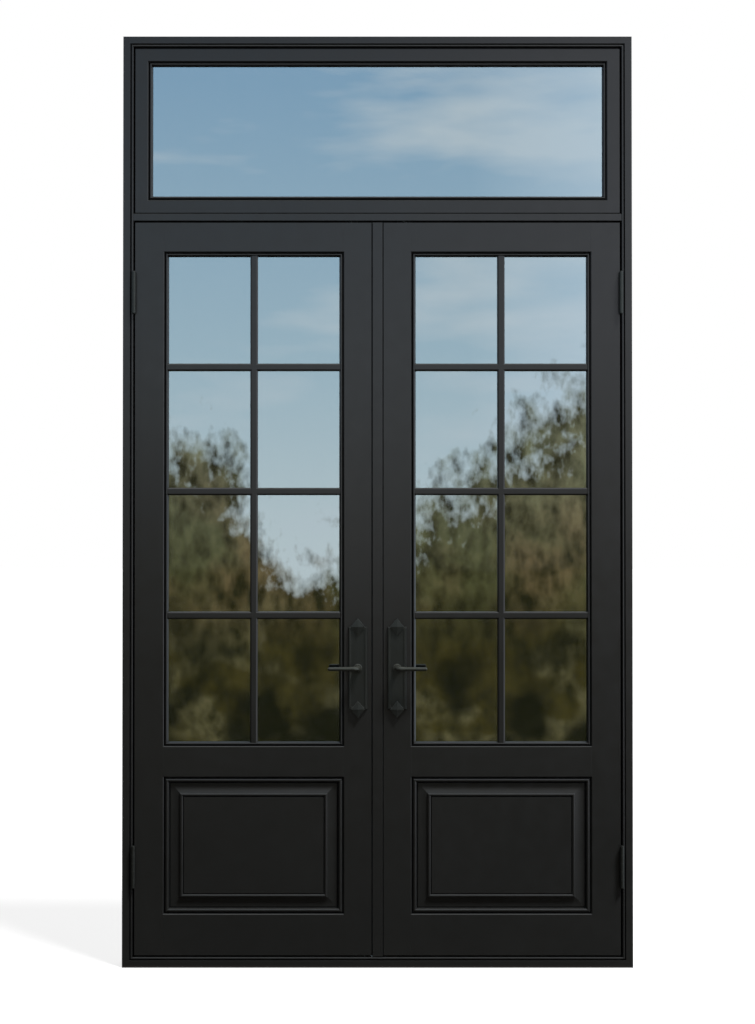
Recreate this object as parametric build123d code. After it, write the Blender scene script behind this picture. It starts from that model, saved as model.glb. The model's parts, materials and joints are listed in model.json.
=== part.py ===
from build123d import *
import math

# A pair of french doors in a mitred four-sided frame with a fixed light above.
# Millimetres. X runs across the doorway, the outside faces -Y, Z is up, and the
# origin is on the sill's underside, midway across the width and the depth.

# Frame
FRAME_WIDTH = 1694.0
FRAME_DEPTH = 116.0
FRAME_BAND = 23.0
FRAME_QUIRK = 4.0
FRAME_QUIRK_DEPTH = 7.0
FRAME_BEAD = 7.0
FRAME_BEAD_RISE = 3.0
STOP_HEIGHT = 15.0
TRANSOM_BAR_FACE = 24.0
TRANSOM_BAR_SETBACK = 2.0
JAMB_SCREW_DIAMETER = 8.0
JAMB_SCREW_PITCH = 850.0
JAMB_SCREW_BEHIND_STOP = 31.0
LOWER_SCREW_HEIGHT = 250.0
UPPER_SCREW_DROP = 255.0

# Door leaves
LEAF_HEIGHT = 2434.0
LEAF_THICKNESS = 44.5
LEAF_SETBACK = 4.0
EDGE_GAP = 6.0
MEETING_GAP = 4.0
EDGE_BEVEL = 2.0
HINGE_STILE = 97.0
LOCK_STILE = 93.0
TOP_RAIL = 98.5
LOCK_RAIL = 103.0
BOTTOM_RAIL = 137.0
PANEL_OPENING = 452.5
ARRIS = 2.5
TENON_LENGTH = 12.0
TENON_THICKNESS = 14.0
TENON_SHOULDER = 12.0

# Astragal on the right leaf
ASTRAGAL_WIDTH = 36.0
ASTRAGAL_PROUD = 3.0
ASTRAGAL_QUIRK = 3.5
ASTRAGAL_QUIRK_DEPTH = 8.0
ASTRAGAL_DROP = 3.0
SEAL_WIDTH = 6.0
SEAL_SETBACK = 6.0
SEAL_CLEARANCE = 0.4

# Gaskets on the stops
GASKET_SPACE = 3.5
GASKET_WIDTH = 9.0
GASKET_CLEARANCE = 0.3

# Fixed light
LIGHT_HEIGHT = 551.0
SASH_MEMBER = 43.0
SASH_JOINT = 3.0
SASH_JOINT_DEPTH = 9.0

# Glazing
GLASS_SETBACK = 16.0
PANE_THICKNESS = 4.0
GLASS_CAVITY = 12.0
GLASS_EDGE_GAP = 3.0
SPACER_WIDTH = 9.0
BEAD_WIDTH = 14.5
BEAD_QUIRK = 5.0
BEAD_QUIRK_DEPTH = 10.0
BEAD_ROUND = 5.5
BEAD_SETBACK = 2.0
BEAD_RISE = 2.0
INNER_BEAD_HEIGHT = 7.0
INNER_BEAD_EDGE = 3.0
INNER_BEAD_FLAT = 5.0
MUNTIN_WIDTH = 24.5
MUNTIN_BEVEL = 4.5
MUNTIN_SETBACK = 4.0
MUNTIN_EDGE_SHARE = 0.7
MUNTIN_ROW_SHARES = (0.264, 0.515, 0.767)

# Raised panel and its mouldings
PANEL_TONGUE = 10.0
GROOVE_DEPTH = 12.0
PANEL_FIT = 0.1
PANEL_MARGIN_SETBACK = 13.0
PANEL_LINE = 4.0
PANEL_LINE_DEPTH = 4.0
PANEL_FIELD_SETBACK = 5.0
PANEL_BEAD_START = 53.5
PANEL_BEAD = 10.0
PANEL_BEAD_RISE = 2.5
PANEL_GROOVE = 3.5
PANEL_GROOVE_DEPTH = 4.0
MOULDING_WIDTH = 17.5
MOULDING_ROUND = 11.0
MOULDING_RISE = 3.0

# Hinges
HINGE_HEIGHT = 136.0
HINGE_TIP = 3.0
HINGE_TIP_RADIUS = 5.5
HINGE_KNUCKLES = 5
KNUCKLE_RADIUS = 7.0
KNUCKLE_GAP = 0.4
PIN_RADIUS = 3.45
PIN_FIT = 0.05
PIN_AHEAD_OF_LEAF = 11.5
HINGE_PLATE = 2.8
HINGE_PLATE_DEPTH = 40.0
KNUCKLE_CLEARANCE = 0.5
LOWER_HINGE_HEIGHT = 294.0
UPPER_HINGE_DROP = 234.0

# Handles
HANDLE_HEIGHT = 952.0
BACKSET = 45.0
PLATE_WIDTH = 63.0
PLATE_HEIGHT = 274.0
PLATE_RIM = 4.5
PLATE_RISE = 4.5
PLATE_SLOPE = 2.5
PLATE_BORDER = 8.0
PLATE_POCKET = 3.0
BOSS_WIDTH = 46.0
BOSS_HEIGHT = 55.0
BOSS_BASE = 12.5
BOSS_RISE = 2.5
COLLAR_RADIUS = 14.0
COLLAR_HEIGHT = 6.0
LEVER_NECK_RADIUS = 8.6
LEVER_RADIUS = 7.25
LEVER_TIP_RADIUS = 6.2
LEVER_LENGTH = 99.0
LEVER_STAND_OFF = 50.0
LEVER_BEND = 14.0
NECK_CLEARANCE = 0.4
COLLAR_CLEARANCE = 0.4
SPINDLE_SIZE = 8.0
SPINDLE_FIT = 0.1
SPINDLE_REACH = 26.0

# Lock case, drive gear and shoot bolts
GEAR_MODULE = 2.0
GEAR_TEETH = 20
GEAR_ADDENDUM_SHARE = 0.8
GEAR_DEDENDUM_SHARE = 1.25
GEAR_PRESSURE_ANGLE = 20.0
GEAR_BACKLASH = 0.35
GEAR_FACE = 10.0
HUB_RADIUS = 10.0
HUB_FIT = 0.08
BOLT_WIDTH = 12.0
BOLT_THICKNESS = 8.0
BOLT_CLEARANCE = 0.5
BOLT_FLUSH = 1.0
BOLT_CHAMFER = 1.5
BOLT_TAIL = 8.0
RACK_GAPS_AHEAD = 1
RACK_GAPS_BEHIND = 4
CASE_HEIGHT = 122.0
CASE_DEPTH = 22.0
CASE_WALL = 4.0
CASE_FIT = 0.2
FOREND_WIDTH = 24.0
FOREND_HEIGHT = 210.0
FOREND_THICKNESS = 3.0
KEEPER_LENGTH = 52.0
KEEPER_WIDTH = 22.0
KEEPER_THICKNESS = 3.0
KEEPER_BORE = 13.0

OVERRUN = 1.0

# Places that follow from the sizes above
HALF_WIDTH = FRAME_WIDTH / 2
FACE_WIDTH = FRAME_BAND + FRAME_QUIRK + FRAME_BEAD
MEMBER_WIDTH = FACE_WIDTH + STOP_HEIGHT
FRONT_Y = -FRAME_DEPTH / 2
BACK_Y = FRAME_DEPTH / 2
LEAF_FRONT_Y = FRONT_Y + LEAF_SETBACK
LEAF_REAR_Y = LEAF_FRONT_Y + LEAF_THICKNESS
LEAF_MID_Y = LEAF_FRONT_Y + LEAF_THICKNESS / 2
STOP_Y = LEAF_REAR_Y + GASKET_SPACE
REVEAL_X = HALF_WIDTH - FACE_WIDTH
LEAF_OUTER_X = REVEAL_X - EDGE_GAP
LEAF_INNER_X = (ASTRAGAL_WIDTH + MEETING_GAP) / 2
LEAF_BOTTOM_Z = FACE_WIDTH + EDGE_GAP
LEAF_TOP_Z = LEAF_BOTTOM_Z + LEAF_HEIGHT
BAR_BOTTOM_Z = LEAF_TOP_Z + EDGE_GAP
BAR_TOP_Z = BAR_BOTTOM_Z + TRANSOM_BAR_FACE
SASH_TOP_Z = BAR_TOP_Z + LIGHT_HEIGHT
HEAD_REVEAL_Z = SASH_TOP_Z + EDGE_GAP
FRAME_HEIGHT = HEAD_REVEAL_Z + FACE_WIDTH
OPENING_LEFT_X = -LEAF_OUTER_X + HINGE_STILE
OPENING_RIGHT_X = -LEAF_INNER_X - LOCK_STILE
PANEL_BOTTOM_Z = LEAF_BOTTOM_Z + BOTTOM_RAIL
PANEL_TOP_Z = PANEL_BOTTOM_Z + PANEL_OPENING
GLASS_BOTTOM_Z = PANEL_TOP_Z + LOCK_RAIL
GLASS_TOP_Z = LEAF_TOP_Z - TOP_RAIL
UNIT_THICKNESS = 2 * PANE_THICKNESS + GLASS_CAVITY
PIN_X = -REVEAL_X + EDGE_GAP / 2
PIN_Y = LEAF_FRONT_Y - PIN_AHEAD_OF_LEAF
SPINDLE_X = -LEAF_INNER_X - BACKSET
SPINDLE_Z = LEAF_BOTTOM_Z + HANDLE_HEIGHT
GEAR_RADIUS = GEAR_MODULE * GEAR_TEETH / 2
GEAR_PITCH = math.pi * GEAR_MODULE
ADDENDUM = GEAR_ADDENDUM_SHARE * GEAR_MODULE
DEDENDUM = GEAR_DEDENDUM_SHARE * GEAR_MODULE
TOP_BOLT_SIDE = -1
BOTTOM_BOLT_SIDE = 1


def block(low, high):
    """A box between two corners."""
    size = [b - a for a, b in zip(low, high)]
    return Pos(*low) * Box(*size, align=(Align.MIN, Align.MIN, Align.MIN))


def outline(*edges):
    """A flat face inside straight runs and arcs, given in order."""
    wire = Wire([edge for piece in edges for edge in piece.edges()])
    return Face(wire)


def mitred_side(section, reach, side, left, right, bottom, top):
    """One side of a mitred ring. The section's u runs inwards from the ring's edge and v is Y."""
    across, up = Vector(1, 0, 0), Vector(0, 0, 1)
    start, inward, along, length = {
        "left": ((left, 0, bottom), across, up, top - bottom),
        "right": ((right, 0, top), -across, -up, top - bottom),
        "bottom": ((right, 0, bottom), up, -across, right - left),
        "top": ((left, 0, top), -up, across, right - left),
    }[side]
    bar = extrude(Plane(start, inward, along) * section, amount=length, dir=along)
    trapezoid = Polyline((0, 0), (reach, reach), (reach, length - reach), (0, length), close=True)
    prism = extrude(Plane(start, inward, inward.cross(along)) * outline(trapezoid), FRAME_DEPTH, both=True)
    return (bar & prism).solid()


def mitred_ring(section, reach, left, right, bottom, top):
    """The four mitred sides of a ring, by name."""
    sides = ("left", "right", "bottom", "top")
    return {side: mitred_side(section, reach, side, left, right, bottom, top) for side in sides}


def rectangle_section(u_low, u_high, v_low, v_high):
    """A plain rectangular section of a ring."""
    return outline(Polyline((u_low, v_low), (u_high, v_low), (u_high, v_high), (u_low, v_high), close=True))


def frame_section():
    """Face band, quirk and bead at the front, rebate for the door, then the stop."""
    bead_start = FRAME_BAND + FRAME_QUIRK
    quirk_y = FRONT_Y + FRAME_QUIRK_DEPTH
    shoulder_y = FRONT_Y + FRAME_BEAD_RISE
    face = Polyline((0, FRONT_Y), (FRAME_BAND, FRONT_Y), (FRAME_BAND + FRAME_QUIRK / 2, quirk_y),
                    (bead_start, shoulder_y))
    bead = ThreePointArc((bead_start, shoulder_y), (bead_start + FRAME_BEAD / 2, FRONT_Y),
                         (FACE_WIDTH, shoulder_y))
    body = Polyline((FACE_WIDTH, shoulder_y), (FACE_WIDTH, STOP_Y), (MEMBER_WIDTH, STOP_Y),
                    (MEMBER_WIDTH, BACK_Y), (0, BACK_Y), (0, FRONT_Y))
    return outline(face, bead, body)


def jamb_screw_holes(x):
    """Four holes through a jamb, in two pairs, behind the door's stop."""
    starts = (LOWER_SCREW_HEIGHT, FRAME_HEIGHT - UPPER_SCREW_DROP - JAMB_SCREW_PITCH)
    hole = Rot(0, 90, 0) * Cylinder(JAMB_SCREW_DIAMETER / 2, 2 * MEMBER_WIDTH + 2 * OVERRUN)
    y = STOP_Y + JAMB_SCREW_BEHIND_STOP
    return [Pos(x, y, start + step) * hole for start in starts for step in (0, JAMB_SCREW_PITCH)]


def bolt_centre(side):
    """The place of a shoot bolt across the left leaf."""
    return SPINDLE_X + side * (GEAR_RADIUS + BOLT_WIDTH / 2)


def keeper_places():
    """Centre x of each keeper, for the top bolts and for the bottom bolts."""
    tops = [sign * bolt_centre(TOP_BOLT_SIDE) for sign in (1, -1)]
    bottoms = [sign * bolt_centre(BOTTOM_BOLT_SIDE) for sign in (1, -1)]
    return tops, bottoms


def keeper_plate(x, face_z, inward):
    """A plate let in flush at face_z, with its slot. Inward is +1 where the wood lies above the face."""
    slot_x = BOLT_WIDTH / 2 + BOLT_CLEARANCE
    slot_y = BOLT_THICKNESS / 2 + BOLT_CLEARANCE
    deep_z = face_z + inward * KEEPER_THICKNESS
    low, high = sorted((face_z, deep_z))
    plate = block((x - KEEPER_LENGTH / 2, LEAF_MID_Y - KEEPER_WIDTH / 2, low),
                  (x + KEEPER_LENGTH / 2, LEAF_MID_Y + KEEPER_WIDTH / 2, high))
    slot = block((x - slot_x, LEAF_MID_Y - slot_y, low - OVERRUN),
                 (x + slot_x, LEAF_MID_Y + slot_y, high + OVERRUN))
    return plate - slot


def keeper_pocket(x, face_z, inward):
    """The recess for a keeper plate and the bore behind its slot."""
    slot_x = BOLT_WIDTH / 2 + BOLT_CLEARANCE
    slot_y = BOLT_THICKNESS / 2 + BOLT_CLEARANCE
    low, high = sorted((face_z - inward * OVERRUN, face_z + inward * KEEPER_THICKNESS))
    seat = block((x - KEEPER_LENGTH / 2, LEAF_MID_Y - KEEPER_WIDTH / 2, low),
                 (x + KEEPER_LENGTH / 2, LEAF_MID_Y + KEEPER_WIDTH / 2, high))
    low, high = sorted((face_z, face_z + inward * KEEPER_BORE))
    bore = block((x - slot_x, LEAF_MID_Y - slot_y, low), (x + slot_x, LEAF_MID_Y + slot_y, high))
    return seat + bore


def frame_members():
    """Jambs, head and sill, with screw holes in the jambs and keeper pockets in the sill."""
    ring = mitred_ring(frame_section(), MEMBER_WIDTH, -HALF_WIDTH, HALF_WIDTH, 0, FRAME_HEIGHT)
    ring["left"] -= jamb_screw_holes(-HALF_WIDTH)
    ring["right"] -= jamb_screw_holes(HALF_WIDTH)
    ring["bottom"] -= [keeper_pocket(x, FACE_WIDTH, -1) for x in keeper_places()[1]]
    return ring


def transom_bar():
    """The bar between doors and light: a face web, and a flange that is the stop for both."""
    web = block((-REVEAL_X, FRONT_Y + TRANSOM_BAR_SETBACK, BAR_BOTTOM_Z), (REVEAL_X, STOP_Y, BAR_TOP_Z))
    front = web.edges().filter_by(Axis.X).group_by(Axis.Y)[0]
    web = chamfer(front, TRANSOM_BAR_SETBACK / 2)
    stop_x = REVEAL_X - STOP_HEIGHT
    flange = block((-stop_x, STOP_Y, BAR_BOTTOM_Z - STOP_HEIGHT), (stop_x, BACK_Y, BAR_TOP_Z + STOP_HEIGHT))
    return web + flange - [keeper_pocket(x, BAR_BOTTOM_Z, 1) for x in keeper_places()[0]]


def gasket_rings():
    """Strips on the stops round the doorway and round the fixed light."""
    inset = (STOP_HEIGHT - GASKET_WIDTH) / 2
    section = rectangle_section(inset, inset + GASKET_WIDTH, LEAF_REAR_Y + GASKET_CLEARANCE, STOP_Y)
    reach = inset + GASKET_WIDTH
    doorway = mitred_ring(section, reach, -REVEAL_X, REVEAL_X, FACE_WIDTH, BAR_BOTTOM_Z)
    light = mitred_ring(section, reach, -REVEAL_X, REVEAL_X, BAR_TOP_Z, HEAD_REVEAL_Z)
    return list(doorway.values()) + list(light.values())


def outer_bead_section():
    """Sharp quirk, round bead and steep fall to the glass."""
    front = LEAF_FRONT_Y
    glass = front + GLASS_SETBACK
    quirk = front + BEAD_QUIRK_DEPTH
    shoulder = front + BEAD_SETBACK + BEAD_RISE
    round_end = BEAD_QUIRK + BEAD_ROUND
    edge = Polyline((0, glass), (0, quirk), (BEAD_QUIRK, shoulder))
    bead = ThreePointArc((BEAD_QUIRK, shoulder), (BEAD_QUIRK + BEAD_ROUND / 2, front + BEAD_SETBACK),
                         (round_end, shoulder))
    fall = Polyline((round_end, shoulder), (BEAD_WIDTH, glass), (0, glass))
    return outline(edge, bead, fall)


def inner_bead_section():
    """The plain bevelled bead on the room side of the glass."""
    glass = LEAF_FRONT_Y + GLASS_SETBACK + UNIT_THICKNESS
    high = glass + INNER_BEAD_HEIGHT
    return outline(Polyline((0, glass), (BEAD_WIDTH, glass), (BEAD_WIDTH, glass + INNER_BEAD_EDGE),
                            (INNER_BEAD_FLAT, high), (0, high), close=True))


def glazing(left, right, bottom, top):
    """Panes, spacer and beads that fill one opening."""
    gap = GLASS_EDGE_GAP
    outer_y = LEAF_FRONT_Y + GLASS_SETBACK
    inner_y = outer_y + UNIT_THICKNESS - PANE_THICKNESS
    panes = [block((left + gap, y, bottom + gap), (right - gap, y + PANE_THICKNESS, top - gap))
             for y in (outer_y, inner_y)]
    section = rectangle_section(gap, gap + SPACER_WIDTH, outer_y + PANE_THICKNESS, inner_y)
    sides = mitred_ring(section, gap + SPACER_WIDTH, left, right, bottom, top)
    spacer = sides["left"] + sides["right"] + sides["bottom"] + sides["top"]
    beads = []
    for bead in (outer_bead_section(), inner_bead_section()):
        beads += mitred_ring(bead, BEAD_WIDTH, left, right, bottom, top).values()
    return {"panes": panes, "spacer": [spacer], "beads": beads}


def muntin_section(glass, front):
    """A bevelled bar in plan, from the glass to its front face, about u = 0."""
    half = MUNTIN_WIDTH / 2
    shoulder = glass + MUNTIN_EDGE_SHARE * (front - glass)
    flat = half - MUNTIN_BEVEL
    return outline(Polyline((-half, glass), (-half, shoulder), (-flat, front), (flat, front),
                            (half, shoulder), (half, glass), close=True))


def muntin_grille(glass, front, beads):
    """One upright and rows of cross bars, coped to the upright and to the beads."""
    bead_top = BEAD_QUIRK + BEAD_ROUND / 2
    left, right = OPENING_LEFT_X + bead_top, OPENING_RIGHT_X - bead_top
    bottom, top = GLASS_BOTTOM_Z + bead_top, GLASS_TOP_Z - bead_top
    section = muntin_section(glass, front)
    middle = (OPENING_LEFT_X + OPENING_RIGHT_X) / 2
    upright_plane = Plane((middle, 0, bottom), (1, 0, 0), (0, 0, 1))
    upright = extrude(upright_plane * section, amount=top - bottom, dir=(0, 0, 1)) - beads
    bars = [upright.solid()]
    for share in MUNTIN_ROW_SHARES:
        z = GLASS_BOTTOM_Z + share * (GLASS_TOP_Z - GLASS_BOTTOM_Z)
        row_plane = Plane((left, 0, z), (0, 0, -1), (1, 0, 0))
        row = extrude(row_plane * section, amount=right - left, dir=(1, 0, 0))
        bars += (row - bars[0] - beads).solids()
    return bars


def grilles(beads):
    """The bars on the outer face of the glass and those on the inner face."""
    outer_glass = LEAF_FRONT_Y + GLASS_SETBACK
    inner_glass = outer_glass + UNIT_THICKNESS
    return (muntin_grille(outer_glass, LEAF_FRONT_Y + MUNTIN_SETBACK, beads)
            + muntin_grille(inner_glass, LEAF_REAR_Y - MUNTIN_SETBACK, beads))


def panel_face(sign):
    """One face of the raised panel, as runs from the tongue's edge to the field."""
    face = LEAF_MID_Y + sign * LEAF_THICKNESS / 2
    margin = face - sign * PANEL_MARGIN_SETBACK
    field = face - sign * PANEL_FIELD_SETBACK
    groove = field - sign * PANEL_GROOVE_DEPTH
    u = PANEL_TONGUE
    line_start = u + MOULDING_WIDTH
    bead_start = u + PANEL_BEAD_START
    bead_end = bead_start + PANEL_BEAD
    field_start = bead_end + PANEL_GROOVE
    line = margin - sign * PANEL_LINE_DEPTH
    flat = Polyline((0, margin), (line_start, margin), (line_start + PANEL_LINE / 2, line),
                    (line_start + PANEL_LINE, margin), (bead_start, margin), (bead_start, field))
    bead = ThreePointArc((bead_start, field), (bead_start + PANEL_BEAD / 2, field + sign * PANEL_BEAD_RISE),
                         (bead_end, field))
    sunk = Polyline((bead_end, field), (bead_end + PANEL_GROOVE / 2, groove), (field_start, field))
    return margin, field, field_start, (flat, bead, sunk)


def raised_panel():
    """Tongue, flat margin, bead and sunk line run round a proud field, on both faces."""
    front_margin, front_field, reach, front = panel_face(-1)
    rear_margin, rear_field, _, rear = panel_face(1)
    edge = Polyline((0, front_margin), (0, rear_margin))
    close = Polyline((reach, front_field), (reach, rear_field))
    section = outline(*front, *rear, edge, close)
    left, right = OPENING_LEFT_X - PANEL_TONGUE, OPENING_RIGHT_X + PANEL_TONGUE
    bottom, top = PANEL_BOTTOM_Z - PANEL_TONGUE, PANEL_TOP_Z + PANEL_TONGUE
    sides = mitred_ring(section, reach, left, right, bottom, top)
    field = block((left + reach, front_field, bottom + reach), (right - reach, rear_field, top - reach))
    return (field + list(sides.values())).solid()


def moulding_section(sign):
    """Quirk, bead and fall of the moulding that frames the panel, on one face."""
    face = LEAF_MID_Y + sign * LEAF_THICKNESS / 2

    def at(depth):
        return face - sign * depth

    round_end = BEAD_QUIRK + MOULDING_ROUND
    shoulder = BEAD_SETBACK + MOULDING_RISE
    edge = Polyline((0, at(PANEL_MARGIN_SETBACK)), (0, at(BEAD_QUIRK_DEPTH)), (BEAD_QUIRK, at(shoulder)))
    bead = ThreePointArc((BEAD_QUIRK, at(shoulder)), (BEAD_QUIRK + MOULDING_ROUND / 2, at(BEAD_SETBACK)),
                         (round_end, at(shoulder)))
    fall = Polyline((round_end, at(shoulder)), (MOULDING_WIDTH, at(PANEL_MARGIN_SETBACK)),
                    (0, at(PANEL_MARGIN_SETBACK)))
    return outline(edge, bead, fall)


def panel_mouldings():
    """Four mitred lengths on each face of the panel."""
    lengths = []
    for sign in (-1, 1):
        ring = mitred_ring(moulding_section(sign), MOULDING_WIDTH, OPENING_LEFT_X, OPENING_RIGHT_X,
                           PANEL_BOTTOM_Z, PANEL_TOP_Z)
        lengths += ring.values()
    return lengths


def arris_cut(left, right, bottom, top):
    """What is planed off the edges round an opening, on both faces."""
    cuts = []
    for sign in (-1, 1):
        face = LEAF_MID_Y + sign * LEAF_THICKNESS / 2
        section = outline(Polyline((0, face), (ARRIS, face), (ARRIS, face - sign * ARRIS), close=True))
        cuts += mitred_ring(section, ARRIS, left - ARRIS, right + ARRIS, bottom - ARRIS, top + ARRIS).values()
    return cuts


def leaf_arris_cuts():
    """The eased edges round a leaf's glass and round its panel."""
    return (arris_cut(OPENING_LEFT_X, OPENING_RIGHT_X, GLASS_BOTTOM_Z, GLASS_TOP_Z)
            + arris_cut(OPENING_LEFT_X, OPENING_RIGHT_X, PANEL_BOTTOM_Z, PANEL_TOP_Z))


def tenon(z_low, z_high, x_low, x_high):
    """The stub tenons of a rail, as one bar that runs past both shoulders."""
    half = TENON_THICKNESS / 2
    return block((x_low - TENON_LENGTH, LEAF_MID_Y - half, z_low + TENON_SHOULDER),
                 (x_high + TENON_LENGTH, LEAF_MID_Y + half, z_high - TENON_SHOULDER))


def panel_groove():
    """The space that the panel's tongue takes in the stiles and rails."""
    depth = GROOVE_DEPTH
    low_y = LEAF_FRONT_Y + PANEL_MARGIN_SETBACK - PANEL_FIT
    high_y = LEAF_REAR_Y - PANEL_MARGIN_SETBACK + PANEL_FIT
    return block((OPENING_LEFT_X - depth, low_y, PANEL_BOTTOM_Z - depth),
                 (OPENING_RIGHT_X + depth, high_y, PANEL_TOP_Z + depth))


def rails():
    """Top, lock and bottom rails with their tenons, grooved for the panel."""
    spans = {
        "top_rail": (GLASS_TOP_Z, LEAF_TOP_Z),
        "lock_rail": (PANEL_TOP_Z, GLASS_BOTTOM_Z),
        "bottom_rail": (LEAF_BOTTOM_Z, PANEL_BOTTOM_Z),
    }
    made = {}
    for name, (low, high) in spans.items():
        body = block((OPENING_LEFT_X, LEAF_FRONT_Y, low), (OPENING_RIGHT_X, LEAF_REAR_Y, high))
        body += tenon(low, high, OPENING_LEFT_X, OPENING_RIGHT_X)
        made[name] = body - panel_groove() - leaf_arris_cuts()
    return made


def hinge_stile(rail_solids):
    """The stile at the hinges, mortised for the rails and grooved for the panel."""
    body = block((-LEAF_OUTER_X, LEAF_FRONT_Y, LEAF_BOTTOM_Z), (OPENING_LEFT_X, LEAF_REAR_Y, LEAF_TOP_Z))
    return body - panel_groove() - rail_solids - leaf_arris_cuts()


def bolt_channel(side, low, high):
    """The slot that a shoot bolt slides in."""
    x = bolt_centre(side)
    half_x = BOLT_WIDTH / 2 + BOLT_CLEARANCE
    half_y = BOLT_THICKNESS / 2 + BOLT_CLEARANCE
    return block((x - half_x, LEAF_MID_Y - half_y, low), (x + half_x, LEAF_MID_Y + half_y, high))


def case_half_width():
    """From the spindle to the outside of the case, on its inner side."""
    return GEAR_RADIUS + BOLT_WIDTH + BOLT_CLEARANCE + CASE_WALL


def lock_mortise():
    """The pocket for the lock case and its forend, open at the meeting edge."""
    fit = CASE_FIT
    half_y = CASE_DEPTH / 2 + fit
    half_z = CASE_HEIGHT / 2 + fit
    pocket = block((SPINDLE_X - case_half_width() - fit, LEAF_MID_Y - half_y, SPINDLE_Z - half_z),
                   (-LEAF_INNER_X + OVERRUN, LEAF_MID_Y + half_y, SPINDLE_Z + half_z))
    forend_y = FOREND_WIDTH / 2 + fit
    forend_z = FOREND_HEIGHT / 2 + fit
    deep_x = -LEAF_INNER_X - EDGE_BEVEL - FOREND_THICKNESS
    forend = block((deep_x, LEAF_MID_Y - forend_y, SPINDLE_Z - forend_z),
                   (-LEAF_INNER_X + OVERRUN, LEAF_MID_Y + forend_y, SPINDLE_Z + forend_z))
    return pocket + forend


def edge_bevel_cut():
    """The wedge planed off the meeting edge, so that the leaf swings clear of the other."""
    corner = Polyline((-LEAF_INNER_X, LEAF_FRONT_Y), (-LEAF_INNER_X - EDGE_BEVEL, LEAF_REAR_Y),
                      (-LEAF_INNER_X, LEAF_REAR_Y), close=True)
    return extrude(Pos(0, 0, LEAF_BOTTOM_Z) * outline(corner), amount=LEAF_HEIGHT, dir=(0, 0, 1))


def lock_stile(rail_solids):
    """The meeting stile: mortised for rails and lock, bored for the spindle, slotted for the bolts."""
    body = block((OPENING_RIGHT_X, LEAF_FRONT_Y, LEAF_BOTTOM_Z), (-LEAF_INNER_X, LEAF_REAR_Y, LEAF_TOP_Z))
    body = body - panel_groove() - rail_solids - lock_mortise() - edge_bevel_cut() - leaf_arris_cuts()
    body -= bolt_channel(TOP_BOLT_SIDE, SPINDLE_Z, LEAF_TOP_Z + OVERRUN)
    body -= bolt_channel(BOTTOM_BOLT_SIDE, LEAF_BOTTOM_Z - OVERRUN, SPINDLE_Z)
    bore = Rot(90, 0, 0) * Cylinder(HUB_RADIUS, LEAF_THICKNESS + 2 * OVERRUN)
    return body - Pos(SPINDLE_X, LEAF_MID_Y, SPINDLE_Z) * bore


def tooth_half_angle(radius):
    """Half the angle that a gear tooth spans at a radius, on an involute flank."""
    base = GEAR_RADIUS * math.cos(math.radians(GEAR_PRESSURE_ANGLE))

    def involute(at_radius):
        angle = math.acos(min(base / at_radius, 1))
        return math.tan(angle) - angle

    pitch_half = (GEAR_PITCH / 2 - GEAR_BACKLASH) / (2 * GEAR_RADIUS)
    return pitch_half + involute(GEAR_RADIUS) - involute(max(radius, base))


def drive_gear():
    """The toothed wheel that lifts one bolt and lowers the other, with hubs that run in the case."""
    radii = (GEAR_RADIUS - DEDENDUM, GEAR_RADIUS, GEAR_RADIUS + ADDENDUM)
    points = []
    for tooth in range(GEAR_TEETH):
        middle = 2 * math.pi * tooth / GEAR_TEETH
        flank = [(radius, middle - tooth_half_angle(radius)) for radius in radii]
        flank += [(radius, middle + tooth_half_angle(radius)) for radius in reversed(radii)]
        points += [(radius * math.cos(angle), radius * math.sin(angle)) for radius, angle in flank]
    wheel = extrude(outline(Polyline(*points, close=True)), GEAR_FACE / 2, both=True)
    hub = Cylinder(HUB_RADIUS - HUB_FIT, CASE_DEPTH)
    bore = SPINDLE_SIZE + 2 * SPINDLE_FIT
    gear = wheel + hub - Box(bore, bore, CASE_DEPTH + 2 * OVERRUN)
    return Pos(SPINDLE_X, LEAF_MID_Y, SPINDLE_Z) * Rot(90, 0, 0) * gear


def rack_edge(side, sense):
    """The toothed edge of a bolt, as points up its height. Sense is +1 where the bolt rises."""
    slope = math.tan(math.radians(GEAR_PRESSURE_ANGLE))
    half_gap = (GEAR_PITCH / 2 + GEAR_BACKLASH) / 2
    tip_half = half_gap + ADDENDUM * slope
    root_half = half_gap - DEDENDUM * slope
    tip = SPINDLE_X + side * (GEAR_RADIUS - ADDENDUM)
    root = SPINDLE_X + side * (GEAR_RADIUS + DEDENDUM)
    points = []
    for gap in range(-RACK_GAPS_BEHIND, RACK_GAPS_AHEAD + 1):
        z = SPINDLE_Z + sense * gap * GEAR_PITCH
        points += [(tip, z - sense * tip_half), (root, z - sense * root_half), (root, z + sense * root_half),
                   (tip, z + sense * tip_half)]
    return points


def shoot_bolt(side, sense, end_z):
    """A flat bar with a rack beside the gear, chamfered at the end that enters its keeper."""
    near = SPINDLE_X + side * GEAR_RADIUS
    far = near + side * BOLT_WIDTH
    rack = rack_edge(side, sense)
    tail_z = rack[0][1] - sense * BOLT_TAIL
    nose = sense * BOLT_CHAMFER
    points = [(far, tail_z), (near, tail_z), (near, rack[0][1]), *rack, (near, rack[-1][1]),
              (near, end_z - nose), (near + side * BOLT_CHAMFER, end_z), (far - side * BOLT_CHAMFER, end_z),
              (far, end_z - nose)]
    face = Plane((0, LEAF_MID_Y, 0), (1, 0, 0), (0, -1, 0)) * outline(Polyline(*points, close=True))
    return extrude(face, BOLT_THICKNESS / 2, both=True)


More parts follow.
